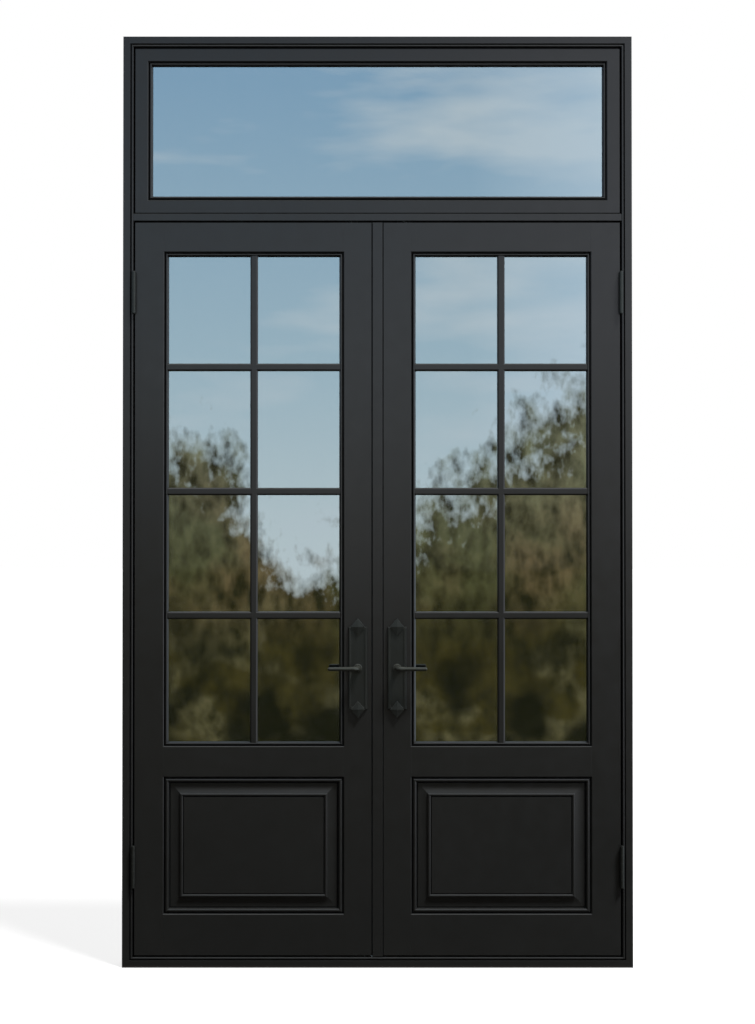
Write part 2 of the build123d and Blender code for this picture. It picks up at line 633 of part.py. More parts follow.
def lock_case():
    """A case round the gear, slotted for the bolts, on a forend let into the meeting edge."""
    half_y, half_z = CASE_DEPTH / 2, CASE_HEIGHT / 2
    far_x = SPINDLE_X - case_half_width()
    forend_x = -LEAF_INNER_X - EDGE_BEVEL
    case = block((far_x, LEAF_MID_Y - half_y, SPINDLE_Z - half_z),
                 (forend_x - FOREND_THICKNESS, LEAF_MID_Y + half_y, SPINDLE_Z + half_z))
    case += block((forend_x - FOREND_THICKNESS, LEAF_MID_Y - FOREND_WIDTH / 2, SPINDLE_Z - FOREND_HEIGHT / 2),
                  (forend_x, LEAF_MID_Y + FOREND_WIDTH / 2, SPINDLE_Z + FOREND_HEIGHT / 2))
    room_x = GEAR_RADIUS + BOLT_WIDTH + BOLT_CLEARANCE
    room_y = GEAR_FACE / 2 + BOLT_CLEARANCE
    room_z = half_z - CASE_WALL
    case -= block((SPINDLE_X - room_x, LEAF_MID_Y - room_y, SPINDLE_Z - room_z),
                  (SPINDLE_X + room_x, LEAF_MID_Y + room_y, SPINDLE_Z + room_z))
    case -= bolt_channel(TOP_BOLT_SIDE, SPINDLE_Z, SPINDLE_Z + half_z + OVERRUN)
    case -= bolt_channel(BOTTOM_BOLT_SIDE, SPINDLE_Z - half_z - OVERRUN, SPINDLE_Z)
    journal = Rot(90, 0, 0) * Cylinder(HUB_RADIUS, CASE_DEPTH + 2 * OVERRUN)
    return case - Pos(SPINDLE_X, LEAF_MID_Y, SPINDLE_Z) * journal


def rhombus(width, height):
    """A diamond outline about the origin."""
    return outline(Polyline((width / 2, 0), (0, height / 2), (-width / 2, 0), (0, -height / 2), close=True))


def escutcheon():
    """A long plate with a bevelled border, a sunk field and a boss across each end. Its front is +Z here."""
    ends = [Pos(0, sign * PLATE_HEIGHT / 2) for sign in (-1, 1)]
    plate = extrude(Rectangle(PLATE_WIDTH, PLATE_HEIGHT), PLATE_RIM)
    slope_angle = math.degrees(math.atan(PLATE_SLOPE / PLATE_RISE))
    border = extrude(Rectangle(PLATE_WIDTH, PLATE_HEIGHT), PLATE_RISE, taper=slope_angle)
    plate += Pos(0, 0, PLATE_RIM) * border
    top = PLATE_RIM + PLATE_RISE
    field = Rectangle(PLATE_WIDTH - 2 * PLATE_BORDER, PLATE_HEIGHT - 2 * PLATE_BORDER)
    plate -= Pos(0, 0, top - PLATE_POCKET) * extrude(field, PLATE_POCKET + OVERRUN)
    for end in ends:
        plate += end * extrude(rhombus(BOSS_WIDTH, BOSS_HEIGHT), BOSS_BASE)
        plate += end * pyramid(BOSS_WIDTH, BOSS_HEIGHT, BOSS_BASE, BOSS_RISE)
    return plate - Cylinder(LEVER_NECK_RADIUS + NECK_CLEARANCE, 2 * (top + OVERRUN))


def pyramid(width, height, base_z, rise):
    """A four-sided point on a diamond base."""
    corners = [(width / 2, 0, base_z), (0, height / 2, base_z), (-width / 2, 0, base_z),
               (0, -height / 2, base_z)]
    apex = (0, 0, base_z + rise)
    loop = corners + corners[:1]
    faces = [Face(Wire.make_polygon([a, b, apex])) for a, b in zip(loop, loop[1:])]
    faces.append(Face(Wire.make_polygon(corners)))
    return Solid(Shell(faces))


def lever():
    """A neck out of the plate, a round bend and a tapered bar. Out is +Z, the bar lies along -X."""
    plate_top = PLATE_RIM + PLATE_RISE - PLATE_POCKET
    turn_z = LEVER_STAND_OFF - LEVER_BEND
    neck = extrude(Circle(LEVER_NECK_RADIUS), turn_z)
    collar_z = plate_top + COLLAR_CLEARANCE
    collar = Pos(0, 0, collar_z) * extrude(Circle(COLLAR_RADIUS), COLLAR_HEIGHT)
    collar = chamfer(collar.edges().group_by(Axis.Z)[-1], COLLAR_HEIGHT / 3)
    bend_plane = Plane((0, 0, turn_z), (1, 0, 0), (0, 0, 1))
    bend = revolve(bend_plane * Circle(LEVER_NECK_RADIUS), Axis((-LEVER_BEND, 0, turn_z), (0, -1, 0)), 90)
    bar_length = LEVER_LENGTH - LEVER_BEND - LEVER_TIP_RADIUS
    half = Polyline((0, 0), (bar_length + LEVER_TIP_RADIUS, 0))
    dome = ThreePointArc((bar_length + LEVER_TIP_RADIUS, 0),
                         (bar_length + LEVER_TIP_RADIUS * math.sin(math.pi / 4),
                          LEVER_TIP_RADIUS * math.sin(math.pi / 4)),
                         (bar_length, LEVER_TIP_RADIUS))
    taper = Polyline((bar_length, LEVER_TIP_RADIUS), (LEVER_BEND, LEVER_RADIUS), (0, LEVER_NECK_RADIUS),
                     (0, 0))
    bar = revolve(outline(half, dome, taper), Axis.X, 360)
    bar = Pos(-LEVER_BEND, 0, LEVER_STAND_OFF) * Rot(0, 180, 0) * bar
    socket = SPINDLE_SIZE + 2 * SPINDLE_FIT
    room = Box(socket, socket, 2 * (SPINDLE_REACH + SPINDLE_FIT))
    return neck + collar + bend + bar - room


def on_outside(piece):
    """Places a handle piece on the outer face of the left leaf."""
    return Plane((SPINDLE_X, LEAF_FRONT_Y, SPINDLE_Z), (1, 0, 0), (0, -1, 0)) * piece


def on_inside(piece):
    """Places a handle piece on the inner face: the outer one, reflected in the leaf's middle plane."""
    return mirror(on_outside(piece), about=Plane((0, LEAF_MID_Y, 0), (1, 0, 0), (0, 1, 0)))


def spindle():
    """The square bar from lever to lever, through the gear."""
    length = LEAF_THICKNESS + 2 * SPINDLE_REACH
    return Pos(SPINDLE_X, LEAF_MID_Y, SPINDLE_Z) * Box(SPINDLE_SIZE, length, SPINDLE_SIZE)


def knuckle(index):
    """One length of the hinge's barrel, counted from the bottom, about the hinge's own middle."""
    pitch = HINGE_HEIGHT / HINGE_KNUCKLES
    z = (index + 0.5) * pitch - HINGE_HEIGHT / 2
    return z, Pos(0, 0, z) * Cylinder(KNUCKLE_RADIUS, pitch - KNUCKLE_GAP)


def hinge_leaf(side, indexes):
    """A plate in the gap with its knuckles, about the pin. Side is -1 on the jamb, +1 on the door."""
    inner = EDGE_GAP / 2 - HINGE_PLATE
    outer = EDGE_GAP / 2
    low, high = sorted((side * inner, side * outer))
    plate_y = KNUCKLE_RADIUS + KNUCKLE_CLEARANCE
    leaf = block((low, plate_y, -HINGE_HEIGHT / 2), (high, plate_y + HINGE_PLATE_DEPTH, HINGE_HEIGHT / 2))
    for index in indexes:
        z, barrel = knuckle(index)
        half = (HINGE_HEIGHT / HINGE_KNUCKLES - KNUCKLE_GAP) / 2
        leaf += block((low, 0, z - half), (high, plate_y, z + half)) + barrel
    return leaf - Cylinder(PIN_RADIUS + PIN_FIT, HINGE_HEIGHT + 2 * OVERRUN)


def hinge_pin():
    """The pin, with a domed button at each end."""
    pin = Cylinder(PIN_RADIUS, HINGE_HEIGHT)
    for sign in (-1, 1):
        tip = Pos(0, 0, sign * (HINGE_HEIGHT + HINGE_TIP) / 2) * Cylinder(HINGE_TIP_RADIUS, HINGE_TIP)
        rim = tip.edges().group_by(Axis.Z)[-1 if sign > 0 else 0]
        pin += fillet(rim, HINGE_TIP / 2)
    return pin


def at_hinges(piece):
    """A hinge piece at both hinges of the left leaf."""
    heights = (LEAF_BOTTOM_Z + LOWER_HINGE_HEIGHT, LEAF_TOP_Z - UPPER_HINGE_DROP)
    return [Pos(PIN_X, PIN_Y, height) * piece for height in heights]


def astragal():
    """The strip on the right leaf's edge: a proud face, a quirk beside the stile, a bevelled meeting edge."""
    left = LEAF_INNER_X - ASTRAGAL_WIDTH
    right = LEAF_INNER_X
    proud_y = LEAF_FRONT_Y - ASTRAGAL_PROUD
    quirk_y = LEAF_FRONT_Y + ASTRAGAL_QUIRK_DEPTH
    section = outline(Polyline((left, proud_y), (right - ASTRAGAL_QUIRK, proud_y), (right, quirk_y),
                               (right, LEAF_REAR_Y), (left + EDGE_BEVEL, LEAF_REAR_Y), (left, LEAF_FRONT_Y),
                               close=True))
    foot = Pos(0, 0, LEAF_BOTTOM_Z - ASTRAGAL_DROP)
    strip = extrude(foot * section, amount=LEAF_HEIGHT + ASTRAGAL_DROP, dir=(0, 0, 1))
    return fill_right_edge(strip)


def fill_right_edge(strip):
    """Adds the wedge that the right leaf's bevelled stile leaves behind the strip."""
    wedge = mirror(edge_bevel_cut(), about=Plane.YZ)
    return (strip + wedge).solid()


def astragal_seal():
    """The brush strip between the leaves, on the astragal's meeting edge."""
    edge_x = LEAF_INNER_X - ASTRAGAL_WIDTH
    low_y = LEAF_FRONT_Y + SEAL_SETBACK
    high_y = low_y + SEAL_WIDTH
    lean = EDGE_BEVEL / LEAF_THICKNESS
    tip_x = edge_x - MEETING_GAP - lean * SEAL_SETBACK + SEAL_CLEARANCE
    section = outline(Polyline((tip_x, low_y), (edge_x + lean * SEAL_SETBACK, low_y),
                               (edge_x + lean * (SEAL_SETBACK + SEAL_WIDTH), high_y), (tip_x, high_y),
                               close=True))
    return extrude(Pos(0, 0, LEAF_BOTTOM_Z) * section, amount=LEAF_HEIGHT, dir=(0, 0, 1))


def fixed_light():
    """Sash members, glass and beads above the transom bar."""
    sash_x = LEAF_OUTER_X
    in_x = sash_x - SASH_MEMBER
    low_z, high_z = BAR_TOP_Z, SASH_TOP_Z
    stiles = [block((-sash_x, LEAF_FRONT_Y, low_z), (-in_x, LEAF_REAR_Y, high_z)),
              block((in_x, LEAF_FRONT_Y, low_z), (sash_x, LEAF_REAR_Y, high_z))]
    sash_rails = [block((-in_x, LEAF_FRONT_Y, low_z), (in_x, LEAF_REAR_Y, low_z + SASH_JOINT + SASH_MEMBER)),
                  block((-in_x, LEAF_FRONT_Y, high_z - SASH_MEMBER), (in_x, LEAF_REAR_Y, high_z))]
    joint = block((-sash_x, LEAF_FRONT_Y, low_z),
                  (sash_x, LEAF_FRONT_Y + SASH_JOINT_DEPTH, low_z + SASH_JOINT))
    eased = arris_cut(-in_x, in_x, low_z + SASH_JOINT + SASH_MEMBER, high_z - SASH_MEMBER)
    stiles = [stile - joint - eased for stile in stiles]
    sash_rails = [rail - joint - eased for rail in sash_rails]
    glass = glazing(-in_x, in_x, low_z + SASH_JOINT + SASH_MEMBER, high_z - SASH_MEMBER)
    return {"transom_stiles": stiles, "transom_rails": sash_rails, "transom_panes": glass["panes"],
            "transom_spacer": glass["spacer"], "transom_beads": glass["beads"]}


def frame_pieces():
    """Every piece that stays still."""
    ring = frame_members()
    tops, bottoms = keeper_places()
    keepers = [keeper_plate(x, BAR_BOTTOM_Z, 1) for x in tops]
    keepers += [keeper_plate(x, FACE_WIDTH, -1) for x in bottoms]
    jamb_leaves = at_hinges(hinge_leaf(-1, range(0, HINGE_KNUCKLES, 2)))
    pins = at_hinges(hinge_pin())
    return {
        "left_jamb": [ring["left"]],
        "right_jamb": [ring["right"]],
        "head_jamb": [ring["top"]],
        "sill": [ring["bottom"]],
        "transom_bar": [transom_bar()],
        "gaskets": gasket_rings(),
        **fixed_light(),
        "bolt_keepers": keepers,
        "hinge_jamb_leaves": jamb_leaves + [mirror(leaf, about=Plane.YZ) for leaf in jamb_leaves],
        "hinge_pins": pins + [mirror(pin, about=Plane.YZ) for pin in pins],
    }


def leaf_pieces():
    """Every piece of the left leaf and its lock gear, without the side in their names."""
    rail_solids = rails()
    cuts = list(rail_solids.values())
    glass = glazing(OPENING_LEFT_X, OPENING_RIGHT_X, GLASS_BOTTOM_Z, GLASS_TOP_Z)
    plate, handle = escutcheon(), lever()
    return {
        "hinge_stile": [hinge_stile(cuts)],
        "lock_stile": [lock_stile(cuts)],
        **{name: [rail] for name, rail in rail_solids.items()},
        "raised_panel": [raised_panel()],
        "panel_mouldings": panel_mouldings(),
        "panes": glass["panes"],
        "spacer": glass["spacer"],
        "glazing_beads": glass["beads"],
        "muntins": grilles(glass["beads"]),
        "hinge_door_leaves": at_hinges(hinge_leaf(1, range(1, HINGE_KNUCKLES, 2))),
        "outer_escutcheon": [on_outside(plate)],
        "inner_escutcheon": [on_inside(plate)],
        "outer_lever": [on_outside(handle)],
        "inner_lever": [on_inside(handle)],
        "spindle": [spindle()],
        "drive_gear": [drive_gear()],
        "lock_case": [lock_case()],
        "top_bolt": [shoot_bolt(TOP_BOLT_SIDE, 1, LEAF_TOP_Z - BOLT_FLUSH)],
        "bottom_bolt": [shoot_bolt(BOTTOM_BOLT_SIDE, -1, LEAF_BOTTOM_Z + BOLT_FLUSH)],
    }


def save(name, solids):
    """Writes one node as a STEP file."""
    loose = [solid for piece in solids for solid in piece.solids()]
    export_step(Compound(children=loose), f"parts/{name}.step")


def main():
    """Makes and writes every node."""
    for name, solids in frame_pieces().items():
        save(name, solids)
    for name, solids in leaf_pieces().items():
        save(f"left_{name}", solids)
        save(f"right_{name}", [mirror(solid, about=Plane.YZ) for solid in solids])
    save("right_astragal", [astragal()])
    save("right_astragal_seal", [astragal_seal()])


main()
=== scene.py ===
"""French doors in their frame: finishes, small fittings, camera and studio."""

import json
import logging
import math
from dataclasses import dataclass, field
from enum import Enum

import bmesh
import bpy
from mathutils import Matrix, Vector

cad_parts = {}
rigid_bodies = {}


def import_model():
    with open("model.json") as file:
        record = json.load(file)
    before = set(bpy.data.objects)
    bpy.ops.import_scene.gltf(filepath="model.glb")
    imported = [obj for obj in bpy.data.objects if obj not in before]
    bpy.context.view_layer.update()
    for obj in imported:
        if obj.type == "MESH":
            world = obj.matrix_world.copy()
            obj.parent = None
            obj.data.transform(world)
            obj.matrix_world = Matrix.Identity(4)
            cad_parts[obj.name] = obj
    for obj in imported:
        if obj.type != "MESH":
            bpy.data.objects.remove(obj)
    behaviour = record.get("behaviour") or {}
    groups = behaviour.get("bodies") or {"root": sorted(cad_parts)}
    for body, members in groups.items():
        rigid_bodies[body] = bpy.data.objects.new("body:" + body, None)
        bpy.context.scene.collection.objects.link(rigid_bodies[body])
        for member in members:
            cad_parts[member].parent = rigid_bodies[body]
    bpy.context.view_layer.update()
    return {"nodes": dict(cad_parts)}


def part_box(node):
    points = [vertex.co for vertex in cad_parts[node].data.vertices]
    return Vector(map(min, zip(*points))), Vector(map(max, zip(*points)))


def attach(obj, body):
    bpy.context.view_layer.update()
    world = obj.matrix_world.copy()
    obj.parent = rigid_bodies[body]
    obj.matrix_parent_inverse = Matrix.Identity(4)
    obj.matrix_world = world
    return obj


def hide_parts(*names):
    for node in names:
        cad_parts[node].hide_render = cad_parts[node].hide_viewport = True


LOG = logging.getLogger("french_doors")
MILLIMETRE = 0.001

Point = tuple[float, float, float]
Colour = tuple[float, float, float]


class Side(Enum):
    """The two leaves, with the way that x runs from the middle to each."""

    LEFT = -1
    RIGHT = 1

    @property
    def word(self) -> str:
        """The side's name, as the nodes and bodies spell it."""
        return self.name.lower()


class Lie(Enum):
    """Which way a member's length lies, as the stretch of the grain under its paint."""

    UPRIGHT = (46.0, 46.0, 1.8)
    LEVEL = (1.8, 46.0, 46.0)


@dataclass
class Shading:
    """A material under construction, with short ways to add and join its nodes.

    Attributes:
        name: The material's name.
    """

    name: str

    def __post_init__(self) -> None:
        """Starts the material with its shader and its object coordinates."""
        self.material = bpy.data.materials.new(self.name)
        self.material.use_nodes = True
        self.tree = self.material.node_tree
        self.shader = self.tree.nodes["Principled BSDF"]
        self.place = self.add("ShaderNodeTexCoord").outputs["Object"]

    def add(self, kind: str, **settings: object) -> bpy.types.Node:
        """Adds a node.

        Args:
            kind: The node's type.
            settings: Its properties, by name.

        Returns:
            The new node.
        """
        node = self.tree.nodes.new(kind)
        for name, value in settings.items():
            setattr(node, name, value)
        return node

    def join(self, source: bpy.types.NodeSocket, target: bpy.types.NodeSocket) -> None:
        """Links one socket to another."""
        self.tree.links.new(source, target)

    def stretched(self, scale: Point) -> bpy.types.NodeSocket:
        """Object coordinates with their own scale on each axis.

        Args:
            scale: The factor on x, y and z.

        Returns:
            The socket with the stretched coordinates.
        """
        node = self.add("ShaderNodeMapping")
        node.inputs["Scale"].default_value = scale
        self.join(self.place, node.inputs["Vector"])
        return node.outputs["Vector"]

    def noise(self, scale: float, detail: float,
              place: bpy.types.NodeSocket | None = None) -> bpy.types.NodeSocket:
        """A noise from 0 to 1.

        Args:
            scale: Waves in a metre.
            detail: How many finer layers it has.
            place: Its coordinates, or none for the object's own.

        Returns:
            The socket with the noise.
        """
        node = self.add("ShaderNodeTexNoise")
        node.inputs["Scale"].default_value = scale
        node.inputs["Detail"].default_value = detail
        self.join(place or self.place, node.inputs["Vector"])
        return node.outputs["Fac"]

    def between(self, value: bpy.types.NodeSocket, low: float, high: float, start: float = 0.3,
                end: float = 0.7) -> bpy.types.NodeSocket:
        """Spreads a value over a range.

        Args:
            value: The socket to spread.
            low: What it becomes at the start.
            high: What it becomes at the end.
            start: The value that counts as the start.
            end: The value that counts as the end.

        Returns:
            The socket with the spread value.
        """
        node = self.add("ShaderNodeMapRange")
        for name, number in (("From Min", start), ("From Max", end), ("To Min", low), ("To Max", high)):
            node.inputs[name].default_value = number
        self.join(value, node.inputs["Value"])
        return node.outputs["Result"]

    def mixed(self, share: bpy.types.NodeSocket, first: "Colour | bpy.types.NodeSocket",
              second: "Colour | bpy.types.NodeSocket") -> bpy.types.NodeSocket:
        """Mixes two colours.

        Args:
            share: How much of the second there is, 0 to 1.
            first: A colour, or a socket with one.
            second: A colour, or a socket with one.

        Returns:
            The socket with the mixed colour.
        """
        node = self.add("ShaderNodeMix", data_type="RGBA")
        self.join(share, node.inputs["Factor"])
        for colour, socket in ((first, node.inputs[6]), (second, node.inputs[7])):
            if isinstance(colour, tuple):
                socket.default_value = (*colour, 1.0)
            else:
                self.join(colour, socket)
        return node.outputs[2]

    def bump(self, height: bpy.types.NodeSocket, depth: float, strength: float = 1.0,
             normal: bpy.types.NodeSocket | None = None) -> bpy.types.NodeSocket:
        """Raises the surface by a height.

        Args:
            height: The socket with the height, 0 to 1.
            depth: What a height of 1 stands for, in metres.
            strength: How much of it shows.
            normal: The normal to start from, or none for the surface's own.

        Returns:
            The socket with the new normal.
        """
        node = self.add("ShaderNodeBump")
        node.inputs["Strength"].default_value = strength
        node.inputs["Distance"].default_value = depth
        self.join(height, node.inputs["Height"])
        if normal:
            self.join(normal, node.inputs["Normal"])
        return node.outputs["Normal"]

    def soft_edges(self, radius: float) -> bpy.types.NodeSocket:
        """A normal that runs round the edges as if they were eased.

        Args:
            radius: The edges' radius in metres.

        Returns:
            The socket with that normal.
        """
        node = self.add("ShaderNodeBevel", samples=6)
        node.inputs["Radius"].default_value = radius
        return node.outputs["Normal"]

    def crevices(self, reach: float, shut: float, clear: float) -> bpy.types.NodeSocket:
        """Where the surface lies deep in a recess or a corner, the mask for the shade painted there.

        Args:
            reach: How far off a neighbour still counts, in metres.
            shut: The openness at which it counts in full.
            clear: The openness at which it no longer counts.

        Returns:
            The socket with 1 in the depth and 0 in the open.
        """
        node = self.add("ShaderNodeAmbientOcclusion", samples=8)
        node.inputs["Distance"].default_value = reach
        return self.between(node.outputs["AO"], 1.0, 0.0, shut, clear)

    def rubbed(self, radius: float) -> bpy.types.NodeSocket:
        """Where the surface lies on an edge, convex or concave.

        Args:
            radius: How far the mask reaches from the edge, in metres.

        Returns:
            The socket with 1 on the edge and 0 on the faces.
        """
        node = self.add("ShaderNodeVectorMath", operation="DOT_PRODUCT")
        self.join(self.soft_edges(radius), node.inputs[0])
        self.join(self.add("ShaderNodeNewGeometry").outputs["Normal"], node.inputs[1])
        return self.between(node.outputs["Value"], 1.0, 0.0, 0.85, 0.985)

    def combined(self, operation: str, first: bpy.types.NodeSocket,
                 second: bpy.types.NodeSocket) -> bpy.types.NodeSocket:
        """Joins two values by a sum, a product or the like.

        Args:
            operation: Which one, as the math node spells it.
            first: One value.
            second: The other value.

        Returns:
            The socket with the result.
        """
        node = self.add("ShaderNodeMath", operation=operation)
        self.join(first, node.inputs[0])
        self.join(second, node.inputs[1])
        return node.outputs[0]

    def total(self, value: bpy.types.NodeSocket, *others: bpy.types.NodeSocket) -> bpy.types.NodeSocket:
        """Adds values up.

        Args:
            value: The first of them.
            others: The rest.

        Returns:
            The socket with the sum.
        """
        for other in others:
            value = self.combined("ADD", value, other)
        return value

    def set(self, **values: object) -> None:
        """Sets plain numbers and colours on the shader, with _ for the spaces in their names."""
        for name, value in values.items():
            socket = self.shader.inputs[name.replace("_", " ")]
            socket.default_value = (*value, 1.0) if isinstance(value, tuple) else value

    def feed(self, **sockets: bpy.types.NodeSocket) -> None:
        """Links sockets to the shader, with _ for the spaces in their names."""
        for name, socket in sockets.items():
            self.join(socket, self.shader.inputs[name.replace("_", " ")])


@dataclass(frozen=True)
class SatinPaint:
    """Sprayed satin black over timber, with a trace of the grain along each member and painted shade deep in
    its quirks and joints.

    Attributes:
        name: The material's name.
        lie: Which way the member lies.
        dark: The paint where its film is thickest.
        light: The paint where it is thinnest.
        groove: The near black painted as shade in its quirks and joints.
        edge: The eased edges' radius in metres.
    """

    name: str
    lie: Lie
    dark: Colour = (0.0093, 0.0097, 0.0093)
    light: Colour = (0.0117, 0.0121, 0.0117)
    groove: Colour = (0.0012, 0.0012, 0.0011)
    edge: float = 0.8 * MILLIMETRE

    def material(self) -> bpy.types.Material:
        """Builds the paint.

        Returns:
            The new material.
        """
        paint = Shading(self.name)
        grain = paint.noise(5.0, 5.0, paint.stretched(self.lie.value))
        peel = paint.noise(420.0, 2.0)
        drift = paint.noise(1.7, 3.0)
        sheen = paint.noise(23.0, 4.0)
        normal = paint.bump(grain, 0.12 * MILLIMETRE, 0.5, paint.soft_edges(self.edge))
        normal = paint.bump(peel, 0.05 * MILLIMETRE, 0.35, normal)
        # Painted shade: deep in quirks and corners the paint turns near black and matte.
        deep = paint.crevices(12 * MILLIMETRE, 0.30, 0.62)
        face = paint.mixed(paint.between(drift, 0.0, 1.0), self.dark, self.light)
        paint.feed(Base_Color=paint.mixed(deep, face, self.groove),
                   Roughness=paint.combined("MAXIMUM", paint.between(sheen, 0.29, 0.36), deep), Normal=normal)
        paint.set(IOR=1.5, Specular_Tint=(1.0, 0.81, 0.77))
        return paint.material


@dataclass(frozen=True)
class BlackHardware:
    """Blackened iron, cast a little rough, with bare metal just showing on its edges.

    Attributes:
        name: The material's name.
        body: The colour of the black.
        rubbed: The paler colour along the edges.
        pit: The near black painted as shade in its corners.
        shine: The least roughness of the black.
    """

    name: str = "black_hardware"
    body: Colour = (0.0084, 0.0088, 0.0080)
    rubbed: Colour = (0.055, 0.056, 0.052)
    pit: Colour = (0.0012, 0.0012, 0.0011)
    shine: float = 0.34

    def material(self) -> bpy.types.Material:
        """Builds the black.

        Returns:
            The new material.
        """
        iron = Shading(self.name)
        skin = iron.noise(950.0, 3.0)
        cloud = iron.noise(60.0, 4.0)
        normal = iron.bump(skin, 0.06 * MILLIMETRE, 0.4, iron.soft_edges(0.4 * MILLIMETRE))
        # Painted shade: deep in corners the black turns darker still and matte.
        deep = iron.crevices(5 * MILLIMETRE, 0.15, 0.5)
        # Every edge, convex or concave, is painted paler than the faces.
        face = iron.mixed(iron.rubbed(1.2 * MILLIMETRE), self.body, self.rubbed)
        gloss = iron.between(cloud, self.shine, self.shine + 0.11)
        iron.feed(Base_Color=iron.mixed(deep, face, self.pit),
                  Roughness=iron.combined("MAXIMUM", gloss, deep), Normal=normal)
        iron.set(IOR=1.48, Specular_Tint=(1.0, 0.90, 0.80))
        return iron.material


@dataclass(frozen=True)
class SolarGlass:
    """Glass with a mirror coat, drawn with a very slight wave, so dark in tint that it stands as painted
    shade for an unlit room behind it.

    Attributes:
        name: The material's name.
        tint: What one pane lets through, dark as painted shade.
        film: What a pane lets through where a little haze dries on it.
        coat_ior: How strongly the coat mirrors.
    """

    name: str = "solar_glass"
    tint: Colour = (0.060, 0.063, 0.057)
    film: Colour = (0.070, 0.073, 0.067)
    coat_ior: float = 3.7

    def material(self) -> bpy.types.Material:
        """Builds the glass.

        Returns:
            The new material.
        """
        glass = Shading(self.name)
        wave = glass.noise(3.0, 1.0)
        haze = glass.noise(7.0, 4.0)
        normal = glass.bump(wave, 0.25 * MILLIMETRE)
        # Painted shade: the panes let almost nothing through, as if the room behind them were unlit.
        glass.feed(Base_Color=glass.mixed(glass.between(haze, 0.0, 1.0), self.tint, self.film),
                   Roughness=glass.between(haze, 0.01, 0.04), Normal=normal, Coat_Normal=normal)
        glass.set(IOR=1.52, Transmission_Weight=1.0)
        glass.set(Coat_Weight=1.0, Coat_IOR=self.coat_ior, Coat_Roughness=0.012)
        return glass.material


@dataclass(frozen=True)
class BrushedMetal:
    """Plated steel or aluminium with fine drawn lines along z.

    Attributes:
        name: The material's name.
        bright: The colour of the plating.
        dull: The colour of its duller patches.
        roughness: The middle of its roughness.
    """

    name: str
    bright: Colour
    dull: Colour
    roughness: float

    def material(self) -> bpy.types.Material:
        """Builds the metal.

        Returns:
            The new material.
        """
        metal = Shading(self.name)
        lines = metal.noise(30.0, 4.0, metal.stretched((60.0, 60.0, 1.0)))
        patches = metal.noise(45.0, 4.0)
        normal = metal.bump(lines, 0.03 * MILLIMETRE, 0.6, metal.soft_edges(0.3 * MILLIMETRE))
        spread = metal.between(patches, self.roughness - 0.06, self.roughness + 0.08)
        metal.feed(Base_Color=metal.mixed(metal.between(patches, 0.0, 1.0), self.bright, self.dull),
                   Roughness=spread, Normal=normal)
        metal.set(Metallic=1.0)
        return metal.material


@dataclass(frozen=True)
class RibbedRubber:
    """Black gasket rubber with fine ribs and a dusty bloom.

    Attributes:
        name: The material's name.
        body: The colour of the rubber.
        bloom: The colour of its dusty patches.
        pitch: From rib to rib in metres.
    """

    name: str = "gasket_rubber"
    body: Colour = (0.011, 0.011, 0.011)
    bloom: Colour = (0.021, 0.021, 0.020)
    pitch: float = 1.5 * MILLIMETRE

    def material(self) -> bpy.types.Material:
        """Builds the rubber.

        Returns:
            The new material.
        """
        rubber = Shading(self.name)
        ribs = rubber.add("ShaderNodeTexWave", bands_direction="DIAGONAL")
        ribs.inputs["Scale"].default_value = 0.314 / self.pitch
        rubber.join(rubber.place, ribs.inputs["Vector"])
        dust = rubber.noise(35.0, 5.0)
        normal = rubber.bump(ribs.outputs["Fac"], 0.15 * MILLIMETRE, 0.5)
        rubber.feed(Base_Color=rubber.mixed(rubber.between(dust, 0.0, 1.0), self.body, self.bloom),
                    Roughness=rubber.between(dust, 0.62, 0.8), Normal=normal)
        return rubber.material


@dataclass(frozen=True)
class BrushPile:
    """Dark grey pile of a draught brush, paler at some of its fibres.

    Attributes:
        name: The material's name.
        deep: The colour of most fibres.
        pale: The colour of the paler ones.
    """

    name: str = "brush_pile"
    deep: Colour = (0.014, 0.014, 0.015)
    pale: Colour = (0.046, 0.046, 0.048)

    def material(self) -> bpy.types.Material:
        """Builds the pile.

        Returns:
            The new material.
        """
        pile = Shading(self.name)
        fibres = pile.noise(260.0, 2.0)
        pile.feed(Base_Color=pile.mixed(pile.between(fibres, 0.0, 1.0), self.deep, self.pale),
                  Roughness=pile.between(fibres, 0.7, 0.9))
        pile.set(Sheen_Weight=0.3)
        return pile.material


